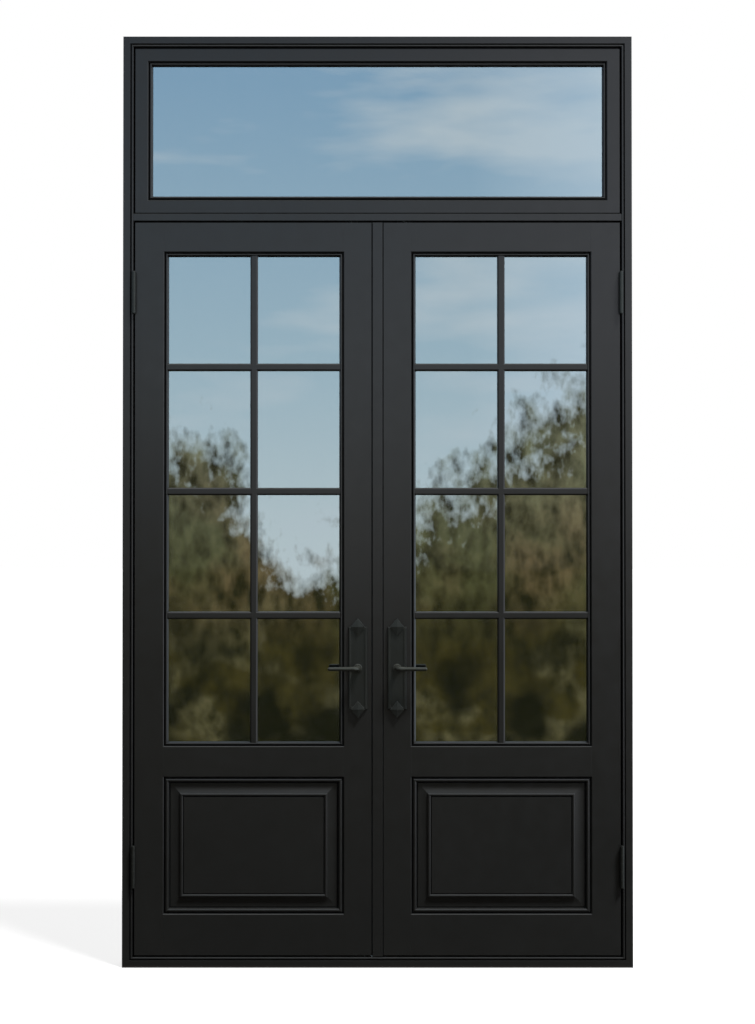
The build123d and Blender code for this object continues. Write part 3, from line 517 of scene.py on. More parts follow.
class Finishes:
    """Every finish on the doors, made once, and the list of which node wears which."""

    def __init__(self) -> None:
        """Makes the materials."""
        self.upright = SatinPaint("satin_paint_upright", Lie.UPRIGHT).material()
        self.level = SatinPaint("satin_paint_level", Lie.LEVEL).material()
        self.hardware = BlackHardware().material()
        # The levers wear a paler, glossier copy of the black hardware; the paler colour is painted sheen.
        self.handled = BlackHardware("handled_hardware", (0.020, 0.0205, 0.0170), shine=0.27).material()
        self.glass = SolarGlass().material()
        self.steel = BrushedMetal("plated_steel", (0.56, 0.55, 0.53), (0.42, 0.41, 0.39), 0.3).material()
        spacer = BrushedMetal("spacer_aluminium", (0.72, 0.73, 0.74), (0.6, 0.61, 0.62), 0.36)
        self.aluminium = spacer.material()
        self.rubber = RibbedRubber().material()
        self.pile = BrushPile().material()

    def wear(self, nodes: dict[str, bpy.types.Object]) -> None:
        """Gives every CAD node its finish.

        Args:
            nodes: The nodes by name.
        """
        by_ending = {
            "jamb": self.upright, "head_jamb": self.level, "sill": self.level, "transom_bar": self.level,
            "stile": self.upright, "stiles": self.upright, "rail": self.level, "rails": self.level,
            "raised_panel": self.upright, "panel_mouldings": self.level, "beads": self.upright,
            "muntins": self.upright, "astragal": self.upright, "panes": self.glass, "spacer": self.aluminium,
            "gaskets": self.rubber, "astragal_seal": self.pile, "keepers": self.steel, "bolt": self.steel,
            "spindle": self.steel, "drive_gear": self.steel, "lock_case": self.steel, "lever": self.handled,
            "escutcheon": self.hardware, "hinge_door_leaves": self.hardware,
            "hinge_jamb_leaves": self.hardware, "hinge_pins": self.hardware,
        }
        for name, node in nodes.items():
            ending = max((end for end in by_ending if name.endswith(end)), key=len)
            node.data.materials.clear()
            node.data.materials.append(by_ending[ending])
            LOG.info("%s wears %s", name, by_ending[ending].name)


@dataclass
class GeometryTree:
    """A Geometry Nodes tree under construction.

    Attributes:
        name: The tree's name.
    """

    name: str
    identifiers: dict[str, str] = field(default_factory=dict)

    def __post_init__(self) -> None:
        """Starts the tree with its geometry in and out."""
        self.group = bpy.data.node_groups.new(self.name, "GeometryNodeTree")
        face = self.group.interface
        face.new_socket(name="Geometry", in_out="INPUT", socket_type="NodeSocketGeometry")
        face.new_socket(name="Geometry", in_out="OUTPUT", socket_type="NodeSocketGeometry")
        self.entry = self.group.nodes.new("NodeGroupInput")
        self.exit = self.group.nodes.new("NodeGroupOutput")

    def number(self, name: str, kind: str = "NodeSocketFloat") -> None:
        """Adds a named input to the tree."""
        socket = self.group.interface.new_socket(name=name, in_out="INPUT", socket_type=kind)
        self.identifiers[name] = socket.identifier

    def add(self, kind: str, inputs: dict[str | int, object] | None = None,
            **settings: object) -> bpy.types.Node:
        """Adds a node and fills its inputs.

        Args:
            kind: The node's type.
            inputs: A socket to link, or a plain value, for each input by name or place.
            settings: The node's properties, by name.

        Returns:
            The new node.
        """
        node = self.group.nodes.new(kind)
        for name, value in settings.items():
            setattr(node, name, value)
        for key, value in (inputs or {}).items():
            if isinstance(value, bpy.types.NodeSocket):
                self.group.links.new(value, node.inputs[key])
            else:
                node.inputs[key].default_value = value
        return node

    def times(self, value: bpy.types.NodeSocket, factor: float) -> bpy.types.NodeSocket:
        """Multiplies a value by a plain number.

        Args:
            value: The socket to multiply.
            factor: The number.

        Returns:
            The socket with the product.
        """
        return self.add("ShaderNodeMath", {0: value, 1: factor}, operation="MULTIPLY").outputs[0]

    def close(self, instances: bpy.types.NodeSocket, material: bpy.types.Material) -> None:
        """Ends the tree with real geometry in one material.

        Args:
            instances: The socket with the instances.
            material: Their material.
        """
        real = self.add("GeometryNodeRealizeInstances", {"Geometry": instances})
        dressed = self.add("GeometryNodeSetMaterial", {"Geometry": real.outputs[0], "Material": material})
        self.group.links.new(dressed.outputs[0], self.exit.inputs[0])

    def grow(self, name: str, seed_mesh: bpy.types.Mesh, values: dict[str, float]) -> bpy.types.Object:
        """Runs the tree on a mesh and keeps the result as a plain object.

        Args:
            name: The new object's name.
            seed_mesh: The mesh that the tree works on.
            values: A number for each named input.

        Returns:
            The new object, with its place in its mesh.
        """
        source = bpy.data.objects.new(f"{name}_source", seed_mesh)
        bpy.context.scene.collection.objects.link(source)
        modifier = source.modifiers.new(self.name, "NODES")
        modifier.node_group = self.group
        for key, value in values.items():
            modifier[self.identifiers[key]] = value
        graph = bpy.context.evaluated_depsgraph_get()
        mesh = bpy.data.meshes.new_from_object(source.evaluated_get(graph))
        mesh.name = name
        source.modifiers.remove(modifier)
        bpy.data.objects.remove(source)
        piece = bpy.data.objects.new(name, mesh)
        bpy.context.scene.collection.objects.link(piece)
        return piece


@dataclass
class ScrewHeads:
    """Cross-slotted countersunk heads, each set flush in the face that it stands on.

    Attributes:
        radius: A head's radius in metres.
        proud: How far a head stands out of its face.
        body: The body that they ride on.
        slot: The material slot that they belong to; not used.
        places: Where each head stands.
        facings: The way that each head looks.
    """

    radius: float
    proud: float
    body: str
    slot: str
    places: list[Point]
    facings: list[Point]

    def seed_mesh(self, name: str) -> bpy.types.Mesh:
        """A point for each head, with the way it looks.

        Args:
            name: The mesh's name.

        Returns:
            The new mesh.
        """
        mesh = bpy.data.meshes.new(name)
        mesh.from_pydata(self.places, [], [])
        facing = mesh.attributes.new("facing", "FLOAT_VECTOR", "POINT")
        for item, value in zip(facing.data, self.facings):
            item.vector = value
        return mesh

    @staticmethod
    def tree(name: str, material: bpy.types.Material) -> GeometryTree:
        """Builds the tree: a cone with a cross cut in it, set on every point and turned at random.

        Args:
            name: The tree's name.
            material: The heads' material.

        Returns:
            The finished tree.
        """
        tree = GeometryTree(name)
        for label in ("Head radius", "Head rise"):
            tree.number(label)
        radius, rise = tree.entry.outputs["Head radius"], tree.entry.outputs["Head rise"]
        sides, taper, slot_length, slot_width, slot_depth, slot_lift = 28, 0.86, 1.15, 0.26, 1.4, 0.7
        head = tree.add("GeometryNodeMeshCone", {"Vertices": sides, "Radius Top": tree.times(radius, taper),
                                                 "Radius Bottom": radius, "Depth": tree.times(rise, 2.0)})
        sunk = tree.add("ShaderNodeCombineXYZ", {"Z": tree.times(rise, -1.0)})
        head = tree.add("GeometryNodeTransform", {"Geometry": head.outputs["Mesh"],
                                                  "Translation": sunk.outputs[0]})
        lift = tree.add("ShaderNodeCombineXYZ", {"Z": tree.times(rise, slot_lift)})
        arms = []
        for across in (True, False):
            long, short = tree.times(radius, slot_length), tree.times(radius, slot_width)
            wide, deep = (long, short) if across else (short, long)
            size = tree.add("ShaderNodeCombineXYZ", {"X": wide, "Y": deep,
                                                     "Z": tree.times(rise, slot_depth)})
            arm = tree.add("GeometryNodeMeshCube", {"Size": size.outputs[0]})
            arms.append(tree.add("GeometryNodeTransform", {"Geometry": arm.outputs["Mesh"],
                                                           "Translation": lift.outputs[0]}))
        cut = tree.add("GeometryNodeMeshBoolean", {"Mesh 1": head.outputs[0]}, operation="DIFFERENCE")
        for arm in arms:
            tree.group.links.new(arm.outputs[0], cut.inputs["Mesh 2"])
        facing = tree.add("GeometryNodeInputNamedAttribute", {"Name": "facing"}, data_type="FLOAT_VECTOR")
        aimed = tree.add("FunctionNodeAlignRotationToVector", {"Vector": facing.outputs["Attribute"]},
                         axis="Z")
        turn = tree.add("FunctionNodeRandomValue", {"Min": 0.0, "Max": math.tau, "Seed": 7},
                        data_type="FLOAT")
        spin = tree.add("FunctionNodeAxisAngleToRotation", {"Axis": (0.0, 0.0, 1.0),
                                                            "Angle": turn.outputs[1]})
        turned = tree.add("FunctionNodeRotateRotation", {0: aimed.outputs[0], 1: spin.outputs[0]},
                          rotation_space="LOCAL")
        set_in = tree.add("GeometryNodeInstanceOnPoints", {"Points": tree.entry.outputs["Geometry"],
                                                           "Instance": cut.outputs["Mesh"],
                                                           "Rotation": turned.outputs[0]})
        tree.close(set_in.outputs[0], material)
        return tree

    def build(self, name: str, tree: GeometryTree) -> bpy.types.Object:
        """Makes the heads and fixes them to their body.

        Args:
            name: The piece's name.
            tree: The tree that sets heads on points.

        Returns:
            The finished piece.
        """
        values = {"Head radius": self.radius, "Head rise": self.proud}
        piece = tree.grow(name, self.seed_mesh(f"{name}_places"), values)
        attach(piece, self.body)
        LOG.info("%s: %d heads on %s", name, len(self.places), self.body)
        return piece


@dataclass
class Fastenings:
    """The screws of the hinges, forend, keepers and inner escutcheons.

    Attributes:
        hinge_rows: Heights of a hinge plate's screws from its middle.
        hinge_columns: Shares of the plate's depth at which its screws stand.
        hinge_middle: From a hinge plate's end to its middle.
        hinge_front: The y of a hinge plate's front edge.
        hinge_back: The y of a hinge plate's back edge.
        hinge_gap: From the pins' plane to a hinge plate's open face.
        hinge_head: The radius of the hinges' screw heads.
        hinge_proud: How far those heads stand out.
        pin_reach: From the doorway's middle to the hinge pins.
        keeper_reach: From a keeper's middle to each of its screws.
        keeper_plate: A keeper's thickness.
        keeper_head: The radius of the keepers' screw heads.
        forend_inset: From the forend's ends to its screws.
        forend_head: The radius of the forend's screw heads.
        plated_proud: How far the heads on keepers and forend stand out.
        plate_inset: From an escutcheon's ends to its screws.
        plate_field: From an escutcheon's back to its sunk field.
        plate_head: The radius of the escutcheons' screw heads.
        plate_proud: How far those heads stand out.
    """

    hinge_rows: tuple[float, ...] = (-0.052, -0.026, 0.0, 0.026, 0.052)
    hinge_columns: tuple[float, ...] = (0.40, 0.76)
    hinge_middle: float = 0.068
    hinge_front: float = -0.058
    hinge_back: float = -0.018
    hinge_gap: float = 0.2 * MILLIMETRE
    hinge_head: float = 0.0042
    hinge_proud: float = 0.14 * MILLIMETRE
    pin_reach: float = 0.810
    keeper_reach: float = 0.0165
    keeper_plate: float = 0.003
    keeper_head: float = 0.0034
    forend_inset: float = 0.012
    forend_head: float = 0.0036
    plated_proud: float = 0.3 * MILLIMETRE
    plate_inset: float = 0.070
    plate_field: float = 6.0 * MILLIMETRE
    plate_head: float = 0.0038
    plate_proud: float = 0.6 * MILLIMETRE

    def plate_places(self, node: str, pin_x: float, sign: int) -> list[Point]:
        """Places on the open face of the hinge plates on one side of the doorway.

        Args:
            node: The node with the plates.
            pin_x: The x of the hinge pins on that side.
            sign: -1 for plates that look to -X, +1 for plates that look to +X.

        Returns:
            Each screw's place.
        """
        low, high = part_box(node)
        face_x = pin_x - sign * self.hinge_gap
        depth = self.hinge_back - self.hinge_front
        places = []
        for middle in (low.z + self.hinge_middle, high.z - self.hinge_middle):
            for index, row in enumerate(self.hinge_rows):
                share = self.hinge_columns[index % len(self.hinge_columns)]
                places.append((face_x, self.hinge_front + share * depth, middle + row))
        return places

    def build(self, finishes: Finishes) -> None:
        """Makes every set of screws, one piece for each body and finish.

        Args:
            finishes: The finishes of the doors.
        """
        black = ScrewHeads.tree("black_screws", finishes.hardware)
        bright = ScrewHeads.tree("plated_screws", finishes.steel)
        frame_places: list[Point] = []
        frame_facings: list[Point] = []
        for side in Side:
            pin_x = side.value * self.pin_reach
            jamb = self.plate_places("hinge_jamb_leaves", pin_x, -side.value)
            frame_places += jamb
            frame_facings += [(-side.value, 0.0, 0.0)] * len(jamb)
            door = self.plate_places(f"{side.word}_hinge_door_leaves", pin_x, side.value)
            screws = ScrewHeads(self.hinge_head, self.hinge_proud, f"{side.word}_leaf", "black_hardware",
                                door, [(side.value, 0.0, 0.0)] * len(door))
            screws.build(f"{side.word}_hinge_screws", black)
        screws = ScrewHeads(self.hinge_head, self.hinge_proud, "frame", "black_hardware", frame_places,
                            frame_facings)
        screws.build("jamb_hinge_screws", black)
        self.build_keeper_screws(bright)
        self.build_forend_screws(bright)
        for side in Side:
            self.build_plate_screws(side, black)

    def build_keeper_screws(self, tree: GeometryTree) -> None:
        """Makes two screws for each bolt keeper.

        Args:
            tree: The tree that sets heads on points.
        """
        low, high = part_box("bolt_keepers")
        y = (low.y + high.y) / 2
        places: list[Point] = []
        facings: list[Point] = []
        for side in Side:
            top_x = sum(corner.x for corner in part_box(f"{side.word}_top_bolt")) / 2
            foot_x = sum(corner.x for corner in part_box(f"{side.word}_bottom_bolt")) / 2
            for reach in (-self.keeper_reach, self.keeper_reach):
                places.append((top_x + reach, y, high.z - self.keeper_plate))
                places.append((foot_x + reach, y, low.z + self.keeper_plate))
                facings += [(0.0, 0.0, -1.0), (0.0, 0.0, 1.0)]
        screws = ScrewHeads(self.keeper_head, self.plated_proud, "frame", "bright_steel", places, facings)
        screws.build("keeper_screws", tree)

    def build_forend_screws(self, tree: GeometryTree) -> None:
        """Makes the two screws of the left leaf's forend; the astragal covers the right one.

        Args:
            tree: The tree that sets heads on points.
        """
        low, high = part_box("left_lock_case")
        y = (low.y + high.y) / 2
        places = [(high.x, y, low.z + self.forend_inset), (high.x, y, high.z - self.forend_inset)]
        screws = ScrewHeads(self.forend_head, self.plated_proud, "left_leaf", "bright_steel", places,
                            [(1.0, 0.0, 0.0)] * len(places))
        screws.build("left_forend_screws", tree)

    def build_plate_screws(self, side: Side, tree: GeometryTree) -> None:
        """Makes the two screws that draw the escutcheons together, on the inner one.

        Args:
            side: The leaf.
            tree: The tree that sets heads on points.
        """
        low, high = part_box(f"{side.word}_inner_escutcheon")
        field_y = low.y + self.plate_field
        x = (low.x + high.x) / 2
        places = [(x, field_y, low.z + self.plate_inset), (x, field_y, high.z - self.plate_inset)]
        screws = ScrewHeads(self.plate_head, self.plate_proud, f"{side.word}_leaf", "black_hardware", places,
                            [(0.0, 1.0, 0.0)] * len(places))
        screws.build(f"{side.word}_plate_screws", tree)


@dataclass
class DraughtBrush:
    """The brush between the leaves: a backing strip on the astragal's edge and rows of fibres.

    Attributes:
        strip: The backing strip's thickness.
        fin: The thickness of the thin fin that stands among the fibres.
        fin_reach: How far the fin stands out past the fibres.
        fin_ends: How far the fin runs on past each end of the fibres.
        rows: Rows of fibres across its width.
        spacing: From fibre to fibre along a row.
        fibre: A fibre's radius at its root.
        tip: A fibre's tip as a share of its root.
        lean: How far a fibre leans at most, in radians.
        lengths: The shortest and longest fibre, as shares of the room.
        ease: The radius of the bars' edges.
    """

    strip: float = 0.0007
    fin: float = 0.0003
    fin_reach: float = 0.00045
    fin_ends: float = 0.0045
    rows: int = 4
    spacing: float = 0.0030
    fibre: float = 0.00042
    tip: float = 0.35
    lean: float = 0.16
    lengths: tuple[float, float] = (0.82, 0.97)
    ease: float = 0.08 * MILLIMETRE

    def tree(self, material: bpy.types.Material) -> GeometryTree:
        """Builds the tree: thin cones along every line, each a little bent away and of its own length.

        Args:
            material: The fibres' material.

        Returns:
            The finished tree.
        """
        tree = GeometryTree("brush_fibres")
        for label in ("Spacing", "Fibre radius", "Fibre length"):
            tree.number(label)
        given = tree.entry.outputs
        line = tree.add("GeometryNodeMeshToCurve", {"Mesh": given["Geometry"]})
        points = tree.add("GeometryNodeResampleCurve", {"Curve": line.outputs[0], "Length": given["Spacing"]},
                          mode="LENGTH")
        tip = tree.times(given["Fibre radius"], self.tip)
        fibre = tree.add("GeometryNodeMeshCone", {"Vertices": 4, "Radius Top": tip,
                                                  "Radius Bottom": given["Fibre radius"],
                                                  "Depth": given["Fibre length"]}, fill_type="NONE")
        across = -math.pi / 2
        lean = tree.add("FunctionNodeRandomValue", {0: (-self.lean, across, -self.lean),
                                                    1: (self.lean, across, self.lean), "Seed": 3},
                        data_type="FLOAT_VECTOR")
        shortest, longest = self.lengths
        reach = tree.add("FunctionNodeRandomValue", {0: (1.0, 1.0, shortest), 1: (1.0, 1.0, longest),
                                                     "Seed": 5}, data_type="FLOAT_VECTOR")
        rows = tree.add("GeometryNodeInstanceOnPoints", {"Points": points.outputs[0],
                                                         "Instance": fibre.outputs["Mesh"],
                                                         "Rotation": lean.outputs[0],
                                                         "Scale": reach.outputs[0]})
        tree.close(rows.outputs[0], material)
        return tree

    def build(self, finishes: Finishes) -> None:
        """Makes the strip and its fibres in place of the plain seal.

        Args:
            finishes: The finishes of the doors.
        """
        low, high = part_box("right_astragal_seal")
        root_x = high.x - self.strip
        length = root_x - low.x
        mesh = bpy.data.meshes.new("brush_lines")
        points = []
        for row in range(self.rows):
            y = low.y + (row + 0.5) * (high.y - low.y) / self.rows
            points += [(root_x, y, low.z + self.spacing), (root_x, y, high.z - self.spacing)]
        mesh.from_pydata(points, [(2 * row, 2 * row + 1) for row in range(self.rows)], [])
        sizes = {"Spacing": self.spacing, "Fibre radius": self.fibre, "Fibre length": length}
        pile = self.tree(finishes.pile).grow("brush_fibres", mesh, sizes)
        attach(pile, "right_leaf")
        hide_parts("right_astragal_seal")
        strip = self.eased_bar("brush_strip", Vector((root_x, low.y, low.z)), high)
        strip.data.materials.append(finishes.pile)
        middle_y = (low.y + high.y) / 2
        fin_low = Vector((low.x - self.fin_reach, middle_y - self.fin / 2, low.z - self.fin_ends))
        fin_high = Vector((root_x, middle_y + self.fin / 2, high.z + self.fin_ends))
        fin = self.eased_bar("brush_fin", fin_low, fin_high)
        fin.data.materials.append(finishes.pile)
        for piece in (strip, fin):
            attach(piece, "right_leaf")
        LOG.info("draught brush of %d triangles", sum(len(face.vertices) - 2 for face in pile.data.polygons))

    def eased_bar(self, name: str, low: Vector, high: Vector) -> bpy.types.Object:
        """A bar between two corners, with eased edges.

        Args:
            name: The piece's name.
            low: Its lowest corner.
            high: Its highest corner.

        Returns:
            The new object.
        """
        form = bmesh.new()
        bmesh.ops.create_cube(form, size=1.0)
        for vertex in form.verts:
            vertex.co = Vector(a * b for a, b in zip(vertex.co, high - low)) + (low + high) / 2
        bmesh.ops.bevel(form, geom=form.edges[:], offset=self.ease, segments=2, affect="EDGES")
        mesh = bpy.data.meshes.new(name)
        form.to_mesh(mesh)
        form.free()
        piece = bpy.data.objects.new(name, mesh)
        bpy.context.scene.collection.objects.link(piece)
        return piece


@dataclass
class PanelSlopes:
    """The hollow slopes that fall from the raised fields to the mouldings, on both faces of both panels.

    Attributes:
        outer: From the panel's edge to where a slope starts.
        inner: From the panel's edge to the bead that it meets.
        margin: From the bead's crest back to the flat that it lies on.
        rise: How high a slope comes at the bead.
        sunk: How far its back lies under the flat.
        steps: Faces across a slope.
        mitre: From what angle on an edge stays sharp.
    """

    outer: float = 31.5 * MILLIMETRE
    inner: float = 63.8 * MILLIMETRE
    margin: float = 10.5 * MILLIMETRE
    rise: float = 4.2 * MILLIMETRE
    sunk: float = 0.4 * MILLIMETRE
    steps: int = 8
    mitre: float = math.radians(5.0)

    def section(self) -> list[tuple[float, float]]:
        """Works out the points across a slope.

        Returns:
            Each point's distance from the panel's edge and its height over the flat.
        """
        reach = self.inner - self.outer
        shares = [step / self.steps for step in range(self.steps + 1)]
        hollow = [(self.outer + reach * share, self.rise * share ** 2) for share in shares]
        return [*hollow, (self.inner, -self.sunk), (self.outer, -self.sunk)]

    def ring(self, form: bmesh.types.BMesh, low: Vector, high: Vector, out: int) -> None:
        """Adds four mitred slopes on one face.

        Args:
            form: The mesh to add to.
            low: The panel's lowest corner.
            high: The panel's highest corner.
            out: -1 for the outer face, 1 for the inner one.
        """
        flat = (low.y if out < 0 else high.y) - out * self.margin
        corners = []
        for left, foot in ((True, True), (False, True), (False, False), (True, False)):
            corner = []
            for inset, rise in self.section():
                x = low.x + inset if left else high.x - inset
                z = low.z + inset if foot else high.z - inset
                corner.append(form.verts.new((x, flat + out * rise, z)))
            corners.append(corner)
        for here, there in zip(corners, corners[1:] + corners[:1]):
            for index in range(len(here)):
                form.faces.new((here[index - 1], here[index], there[index], there[index - 1]))

    def build(self, finishes: Finishes) -> None:
        """Makes the slopes of both leaves.

        Args:
            finishes: The finishes of the doors.
        """
        for side in Side:
            form = bmesh.new()
            for out in (-1, 1):
                self.ring(form, *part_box(f"{side.word}_raised_panel"), out)
            bmesh.ops.recalc_face_normals(form, faces=form.faces[:])
            for edge in form.edges:
                edge.smooth = edge.calc_face_angle() < self.mitre
            for face in form.faces:
                face.smooth = True
            mesh = bpy.data.meshes.new(f"{side.word}_panel_slopes")
            form.to_mesh(mesh)
            form.free()
            mesh.materials.append(finishes.level)
            piece = bpy.data.objects.new(mesh.name, mesh)
            bpy.context.scene.collection.objects.link(piece)
            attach(piece, f"{side.word}_leaf")
            LOG.info("%s of %d faces", mesh.name, len(mesh.polygons))


@dataclass(frozen=True)
class ReflectionCard:
    """A round card about the doors that only reflections show: pale above an uneven edge, dark below it.

    Attributes:
        radius: From the doors' middle to the card's wall.
        height: The wall's height.
        corner: The radius of the bend between the wall and the flat foot.
        steps: Faces round the card.
        lift: How far the foot lies over the floor.
        hole: The radius of the opening in the foot.
        flat: How far the foot runs level.
        mouth: The radius of the opening at the top.
        crown: How far the top rises over the wall.
        clear_low: The pale part at its lowest.
        clear_middle: The pale part at the height of the doors.
        clear_high: The pale part above the doors.
        streak: The soft streaks in it.
        top: The dim band high on the wall.
        left: The pale part on the left.
        right: The pale part on the right.
        ceiling: The card's upper end and its top.
        olive: The dark part's greener mottling.
        brown: The dark part's browner mottling.
        pale_olive: The mottling near the edge.
        umber: The mottling low down.
        tan: The lighter patches low down.
        shade: The small dark marks in the mottling.
        hollow: The large dark marks low down.
        border: The dark part's left end and its foot.
    """

    radius: float = 4.5
    height: float = 9.0
    corner: float = 0.7
    steps: int = 96
    lift: float = 0.006
    hole: float = 0.02
    flat: float = 2.2
    mouth: float = 0.3
    crown: float = 0.4
    clear_low: Colour = (1.20, 1.45, 1.52)
    clear_middle: Colour = (0.80, 1.16, 1.38)
    clear_high: Colour = (0.52, 0.90, 1.26)
    streak: Colour = (1.14, 1.38, 1.52)
    top: Colour = (0.34, 0.37, 0.40)
    left: Colour = (0.20, 0.26, 0.32)
    right: Colour = (1.24, 1.58, 1.86)
    ceiling: Colour = (1.45, 1.80, 1.90)
    olive: Colour = (0.220, 0.236, 0.098)
    brown: Colour = (0.345, 0.268, 0.125)
    pale_olive: Colour = (0.415, 0.462, 0.280)
    umber: Colour = (0.105, 0.092, 0.022)
    tan: Colour = (0.230, 0.215, 0.095)
    shade: Colour = (0.045, 0.044, 0.014)
    hollow: Colour = (0.010, 0.013, 0.003)
    border: Colour = (0.012, 0.015, 0.010)

    def profile(self) -> list[tuple[float, float]]:
        """Works out the card's section.

        Returns:
            Each point's radius and height, from the foot to the top.
        """
        points = [(self.hole, self.lift), (self.flat, self.lift)]
        bends = 8
        for index in range(bends + 1):
            angle = index / bends * math.pi / 2
            radius = self.radius - self.corner + self.corner * math.sin(angle)
            points.append((radius, self.corner - self.corner * math.cos(angle)))
        return [*points, (self.radius, self.height), (self.mouth, self.height + self.crown)]

    def build(self) -> None:
        """Stands the card up."""
        form = bmesh.new()
        turns = [math.tau * step / self.steps for step in range(self.steps)]
        rings = []
        for radius, z in self.profile():
            rings.append([form.verts.new((radius * math.sin(turn), -radius * math.cos(turn), z))
                          for turn in turns])
        for lower, upper in zip(rings, rings[1:]):
            for step in range(self.steps):
                after = (step + 1) % self.steps
                form.faces.new((lower[step], upper[step], upper[after], lower[after]))
        mesh = bpy.data.meshes.new("reflection_card")
        form.to_mesh(mesh)
        form.free()
        card = bpy.data.objects.new("reflection_card", mesh)
        bpy.context.scene.collection.objects.link(card)
        for ray in ("camera", "diffuse", "transmission", "volume_scatter", "shadow"):
            setattr(card, f"visible_{ray}", False)
        mesh.materials.append(self.material())
        LOG.info("reflection card of %d faces", len(mesh.polygons))

    def material(self) -> bpy.types.Material:
        """Builds the card's glow, with an uneven edge between its two parts.

        Returns:
            The new material.
        """
        card = Shading("reflection_card")
        parts = card.add("ShaderNodeSeparateXYZ")
        card.join(card.place, parts.inputs[0])
        across, height = parts.outputs["X"], parts.outputs["Z"]
        edge = card.combined("MINIMUM", card.between(across, -1.94, -1.10, -0.95, -0.50),
                             card.between(across, -1.10, -2.25, -0.50, 1.25))
        gap = card.between(across, 0.0, 3.0, 1.6, 2.4)
        foot = card.between(height, -0.6, 0.0, 0.90, 1.12)
        shapes = card.between(card.noise(1.6, 3.0), -0.14, 0.14)
        tufts = card.between(card.noise(6.0, 5.0), -0.20, 0.20)
        specks = card.between(card.noise(26.0, 6.0, card.stretched((1.0, 1.0, 0.6))), -0.16, 0.16)
        over_edge = card.total(height, edge, gap, foot, shapes, tufts, specks)
        open_share = card.between(over_edge, 0.0, 1.0, -0.24, 0.22)
        glow = card.add("ShaderNodeEmission")
        colour = card.mixed(open_share, self.below(card, across, height), self.above(card, across, height))
        card.join(colour, glow.inputs["Color"])
        card.tree.nodes.remove(card.shader)
        card.join(glow.outputs[0], card.tree.nodes["Material Output"].inputs["Surface"])
        return card.material

    def above(self, card: Shading, across: bpy.types.NodeSocket,
              height: bpy.types.NodeSocket) -> bpy.types.NodeSocket:
        """The pale part: clear low down, bluer higher up and dim at the top, with soft streaks.

        Args:
            card: The material under construction.
            across: The place across the card.
            height: The height on the card.

        Returns:
            The socket with the colour.
        """
        clear = card.mixed(card.between(height, 0.0, 1.0, 1.2, 2.5), self.clear_low, self.clear_middle)
        clear = card.mixed(card.between(height, 0.0, 1.0, 2.5, 4.1), clear, self.clear_high)
        streaks = card.noise(1.2, 4.0, card.stretched((0.6, 0.6, 2.6)))
        lighter = card.between(across, -0.10, 0.13, -1.3, 1.3)
        veil = card.between(card.total(streaks, lighter), 0.0, 0.85, 0.48, 0.70)
        pale = card.mixed(veil, clear, self.streak)
        pale = card.mixed(card.between(height, 0.0, 1.0, 4.3, 5.2), pale, self.top)
        pale = card.mixed(card.between(across, 0.6, 0.0, -2.8, -1.5), pale, self.left)
        pale = card.mixed(card.between(across, 0.0, 0.55, 0.55, 1.35), pale, self.right)
        return card.mixed(card.between(height, 0.0, 1.0, 8.2, 8.9), pale, self.ceiling)

    def below(self, card: Shading, across: bpy.types.NodeSocket,
              height: bpy.types.NodeSocket) -> bpy.types.NodeSocket:
        """The dark part: brown and olive mottling over near black, darkest at its left and foot.

        Args:
            card: The material under construction.
            across: The place across the card.
            height: The height on the card.

        Returns:
            The socket with the colour.
        """
        tone = card.between(card.noise(1.9, 3.0), 0.0, 1.0, 0.40, 0.60)
        upper = card.mixed(tone, self.olive, self.brown)
        upper = card.mixed(card.between(height, 0.0, 0.8, 1.3, 2.0), upper, self.pale_olive)
        patch = card.between(card.noise(2.3, 2.0, card.stretched((1.0, 1.0, 1.3))), 0.0, 1.0, 0.50, 0.58)
        lower = card.mixed(patch, self.umber, self.tan)
        colour = card.mixed(card.between(height, 0.0, 1.0, 0.75, 1.25), lower, upper)
        light = card.between(card.noise(13.0, 8.0, card.stretched((1.0, 1.0, 0.6))), 0.0, 1.0, 0.32, 0.64)
        dark = card.mixed(light, self.shade, colour)
        mark = card.between(card.noise(2.6, 3.0), 1.0, 0.0, 0.40, 0.54)
        low = card.between(height, 0.92, 0.15, 0.55, 1.15)
        dark = card.mixed(card.combined("MULTIPLY", mark, low), dark, self.hollow)
        dark = card.mixed(card.between(across, 0.9, 0.0, -2.3, -1.3), dark, self.border)
        return card.mixed(card.between(height, 0.9, 0.0, 0.02, 0.22), dark, self.border)


@dataclass(frozen=True)
class SoftLamp:
    """A soft lamp.

    Attributes:
        name: Its name.
        place: Where it hangs.
        size: Its width and height.
        power: Its power in watts.
    """

    name: str
    place: Point
    size: tuple[float, float]
    power: float

    def hang(self, target: Point) -> None:
        """Hangs the lamp up so that it looks at a point.

        Args:
            target: The point.
        """
        data = bpy.data.lights.new(self.name, "AREA")
        data.shape = "RECTANGLE"
        data.size, data.size_y = self.size
        data.energy = self.power
        lamp = bpy.data.objects.new(self.name, data)
        lamp.location = self.place
        lamp.rotation_euler = (Vector(target) - Vector(self.place)).to_track_quat("-Z", "Y").to_euler()
        bpy.context.scene.collection.objects.link(lamp)


